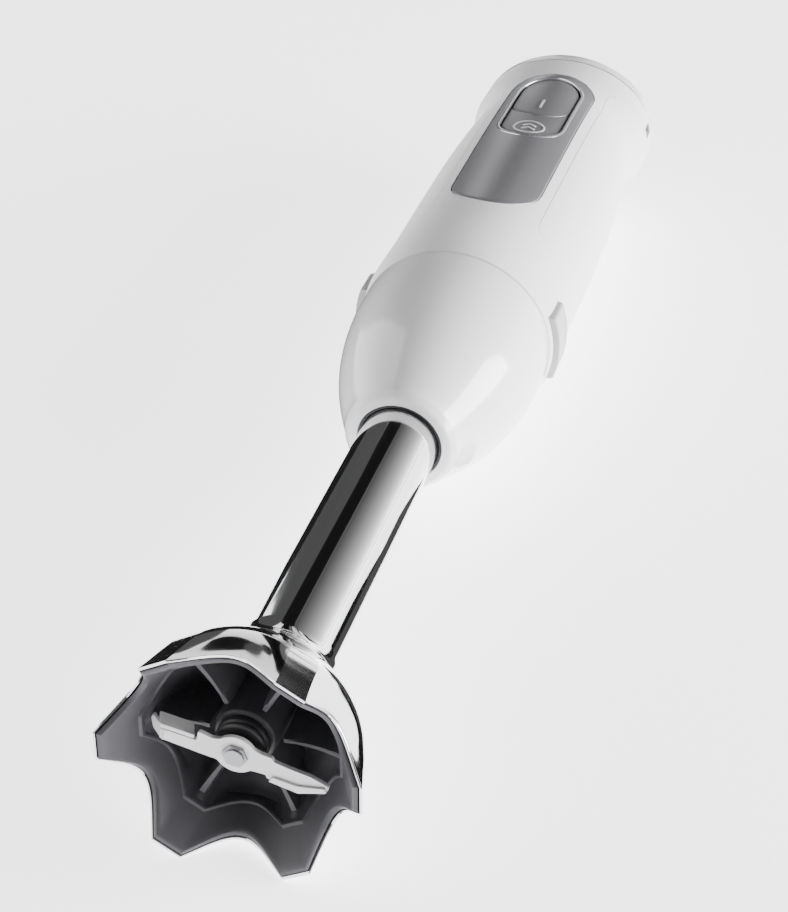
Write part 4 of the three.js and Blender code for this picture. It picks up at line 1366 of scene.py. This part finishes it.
class OBJECT_OT_coupling_parts(bpy.types.Operator):
    """Make the round pieces that show when the blending shaft is pulled off"""
    bl_idname = "blender_part.coupling_parts"
    bl_label = "Coupling parts"

    def execute(self, context):
        seat = turned("coupling_spigot", SEAT_PROFILE, 0.5)
        finished(seat, pale_grey(), "motor_unit", "pale_grey", "coupling_seat")
        ring = turned("spigot_ring", SEAT_RING_PROFILE, 0.5)
        finished(ring, black_rubber(), "motor_unit", "black_rubber", "seat_ring")
        carrier = turned("cone_bearing_carrier", CARRIER_PROFILE, 0.3)
        finished(carrier, inner_finish("dark_plastic"), "blending_shaft", "dark_plastic", "bearing_carrier")
        catch = turned("cone_catch_ring", CATCH_PROFILE, 0.3)
        finished(catch, inner_finish("zinc"), "blending_shaft", "zinc", "catch_ring")
        return {"FINISHED"}


class OBJECT_OT_inner_finishes(bpy.types.Operator):
    """Give the carried-over inner pieces their finishes"""
    bl_idname = "blender_part.inner_finishes"
    bl_label = "Inner finishes"

    def execute(self, context):
        slots = {part["node"]: part["material_slot"] for part in frame["record"]["subparts"]}
        for name, node in frame["nodes"].items():
            if node.hide_render:
                continue
            node.data.materials.clear()
            node.data.materials.append(inner_finish(slots[name]))
        return {"FINISHED"}


# ---------------------------------------------------------------- stage, in metres of the row frame
ROOM_LIGHT = 0.16
BACKDROP_LIGHT = 2.4
FLOOR_HALF = 6
FLOOR_GLOW = 2.6
LIGHT_TARGET = (0, 0, 0.03)
LIGHTS = (  # name, place, size, energy
    ("right_light", (1.1, 0.1, 0.12), 1.1, 80),
    ("left_light", (-1.1, 0.1, 0.12), 0.9, 20),
)
CARDS = (  # name, corner, first edge, second edge, light at the lower end, light at the upper end
    ("overhead_card", (-0.62, -0.2, 0.95), (0.67, 0, 0.2), (0, 2.1, 0), 0.012, 0.012),
    ("left_card", (-0.5, 0.38, 0.0), (0, 0.82, 0), (0, 0, 0.95), 0.09, 0.1),
    ("left_near_card", (-0.5, -1.4, 0.0), (0, 1.74, 0), (0, 0, 1.0), 3.0, 3.0),
    ("left_low_card", (-0.03, -0.06, 0.002), (-0.47, 0, 0), (0, 1.2, 0), 0.012, 0.012),
    ("right_card", (1.7, -0.3, 0.05), (0, 3.4, 0), (-1.6, 0, 1.2), 5.5, 0.1),
    ("right_low_card", (0.021, -0.115, 0.002), (0.032, 0, 0), (0, 0.105, 0), 0.09, 0.09),
    ("right_foot_card", (0.05, -0.12, 0.002), (0.04, 0, 0), (0, 0.088, 0), 0.01, 0.01),
)
FAR_PLACE = 2.6
FAR_HEIGHT = 1.5
FAR_CARDS = (  # start, width, light at the lower end
    (-1.7, 0.99, 2.5), (-0.71, 0.4, 0.01), (-0.1, 0.3, 1.5), (0.22, 0.12, 0.02), (0.34, 0.16, 3.0),
    (0.5, 0.3, 0.04),
)
CAMERA_PLACE = (161.53, -397.71, 390.98)  # in the axis frame, in millimetres
LOOK = Vector((-0.2355, 0.7859, -0.5717))
CAMERA_LENS = 94.2


def card(name, corner, across, up, low, high):
    """A flat glowing card that shows only in reflections: a corner, two edges, and its light."""
    corner, across, up = Vector(corner), Vector(across), Vector(up)
    piece = mesh_object(name, [corner, corner + across, corner + across + up, corner + up], [(0, 1, 2, 3)])
    material = bpy.data.materials.new(name)
    material.use_nodes = True
    tree = material.node_tree
    tree.nodes.clear()
    place = tree.nodes.new("ShaderNodeTexCoord")
    upright = tree.nodes.new("ShaderNodeSeparateXYZ")
    fade = tree.nodes.new("ShaderNodeMapRange")
    fade.inputs["To Min"].default_value = math.log(low)
    fade.inputs["To Max"].default_value = math.log(high)
    level = tree.nodes.new("ShaderNodeMath")
    level.operation = "EXPONENT"
    glow = tree.nodes.new("ShaderNodeEmission")
    out = tree.nodes.new("ShaderNodeOutputMaterial")
    tree.links.new(place.outputs["Generated"], upright.inputs["Vector"])
    tree.links.new(upright.outputs["Z"], fade.inputs["Value"])
    tree.links.new(fade.outputs["Result"], level.inputs[0])
    tree.links.new(level.outputs["Value"], glow.inputs["Strength"])
    tree.links.new(glow.outputs["Emission"], out.inputs["Surface"])
    piece.data.materials.append(material)
    piece.visible_camera = False
    piece.visible_diffuse = False
    piece.visible_transmission = False
    piece.visible_shadow = False


def area_light(name, place, size, energy):
    light = bpy.data.lights.new(name, "AREA")
    light.shape = "DISK"
    light.size = size
    light.energy = energy
    lamp = bpy.data.objects.new(name, light)
    lamp.location = place
    lamp.rotation_euler = (Vector(LIGHT_TARGET) - Vector(place)).to_track_quat("-Z", "Y").to_euler()
    bpy.context.scene.collection.objects.link(lamp)


def floor():
    """A plain pale floor that glows softly."""
    corners = [(x * FLOOR_HALF, y * FLOOR_HALF, 0) for x, y in ((-1, -1), (1, -1), (1, 1), (-1, 1))]
    plane = mesh_object("floor", corners, [(0, 1, 2, 3)])
    material = plain_material("floor_paper", (0.97, 0.97, 0.97), 0.8, fine=300, depth=0.00002, spread=0.01)
    shader = material.node_tree.nodes["Principled BSDF"]
    shader.inputs["Emission Color"].default_value = (1, 1, 1, 1)
    shader.inputs["Emission Strength"].default_value = FLOOR_GLOW
    shader.inputs["Specular IOR Level"].default_value = 0
    plane.data.materials.append(material)


def camera():
    data = bpy.data.cameras.new("camera")
    data.lens = CAMERA_LENS
    data.clip_start = 0.01
    piece = bpy.data.objects.new("camera", data)
    look = LOOK.normalized()
    right = look.cross(Vector((0, 0, 1))).normalized()
    up = right.cross(look)
    turn = Matrix((right, up, -look)).transposed().to_4x4()
    piece.matrix_world = Matrix.Translation(axis_point(*CAMERA_PLACE)) @ turn
    bpy.context.scene.collection.objects.link(piece)
    bpy.context.scene.camera = piece


def world():
    """A dim even room, which is bright where the camera sees it past the floor."""
    sky = bpy.data.worlds.new("soft_room")
    sky.use_nodes = True
    background = sky.node_tree.nodes["Background"]
    background.inputs["Color"].default_value = (1, 1, 1, 1)
    tree = sky.node_tree
    path = tree.nodes.new("ShaderNodeLightPath")
    strength = tree.nodes.new("ShaderNodeMapRange")
    strength.inputs["To Min"].default_value = ROOM_LIGHT
    strength.inputs["To Max"].default_value = BACKDROP_LIGHT
    tree.links.new(path.outputs["Is Camera Ray"], strength.inputs["Value"])
    tree.links.new(strength.outputs["Result"], background.inputs["Strength"])
    bpy.context.scene.world = sky


class OBJECT_OT_stage(bpy.types.Operator):
    """Make the floor, the reflection cards, the soft lights and the camera"""
    bl_idname = "blender_part.stage"
    bl_label = "Stage"

    def execute(self, context):
        camera()
        world()
        floor()
        for name, corner, across, up, low, high in CARDS:
            card(name, corner, across, up, low, high)
        for i, (start, width, glow) in enumerate(FAR_CARDS):
            corner = (start, FAR_PLACE, 0)
            card(f"far_card_{i + 1}", corner, (width, 0, 0), (0, 0, FAR_HEIGHT), glow, glow * 0.5)
        for name, place, size, energy in LIGHTS:
            area_light(name, place, size, energy)
        return {"FINISHED"}


# ---------------------------------------------------------------- panel and registration
OPERATORS = (
    OBJECT_OT_stage, OBJECT_OT_steel_bell, OBJECT_OT_bell_liner, OBJECT_OT_steel_tube,
    OBJECT_OT_coupling_cone, OBJECT_OT_front_shell, OBJECT_OT_rear_grip, OBJECT_OT_top_cap,
    OBJECT_OT_control_panel, OBJECT_OT_keys, OBJECT_OT_release_keys, OBJECT_OT_blade,
    OBJECT_OT_coupling_parts, OBJECT_OT_inner_finishes,
)


class VIEW3D_PT_immersion_blender(bpy.types.Panel):
    """Lists the pieces of the immersion blender and their settings"""
    bl_label = "Immersion Blender"
    bl_space_type = "VIEW_3D"
    bl_region_type = "UI"
    bl_category = "Immersion Blender"

    def draw(self, context):
        for group in (context.scene.blender_sizes, context.scene.blender_colours):
            column = self.layout.column(align=True)
            for name in group.__annotations__:
                column.prop(group, name)
        column = self.layout.column(align=True)
        for operator in OPERATORS:
            column.operator(operator.bl_idname)


CLASSES = (BlenderSizes, BlenderColours, *OPERATORS, VIEW3D_PT_immersion_blender)


def register():
    for item in CLASSES:
        bpy.utils.register_class(item)
    bpy.types.Scene.blender_sizes = PointerProperty(type=BlenderSizes)
    bpy.types.Scene.blender_colours = PointerProperty(type=BlenderColours)


def unregister():
    del bpy.types.Scene.blender_colours
    del bpy.types.Scene.blender_sizes
    for item in reversed(CLASSES):
        bpy.utils.unregister_class(item)


def main():
    register()
    for operator in OPERATORS:
        name = operator.bl_idname.split(".")[1]
        getattr(bpy.ops.blender_part, name)()


if __name__ == "__main__":
    main()
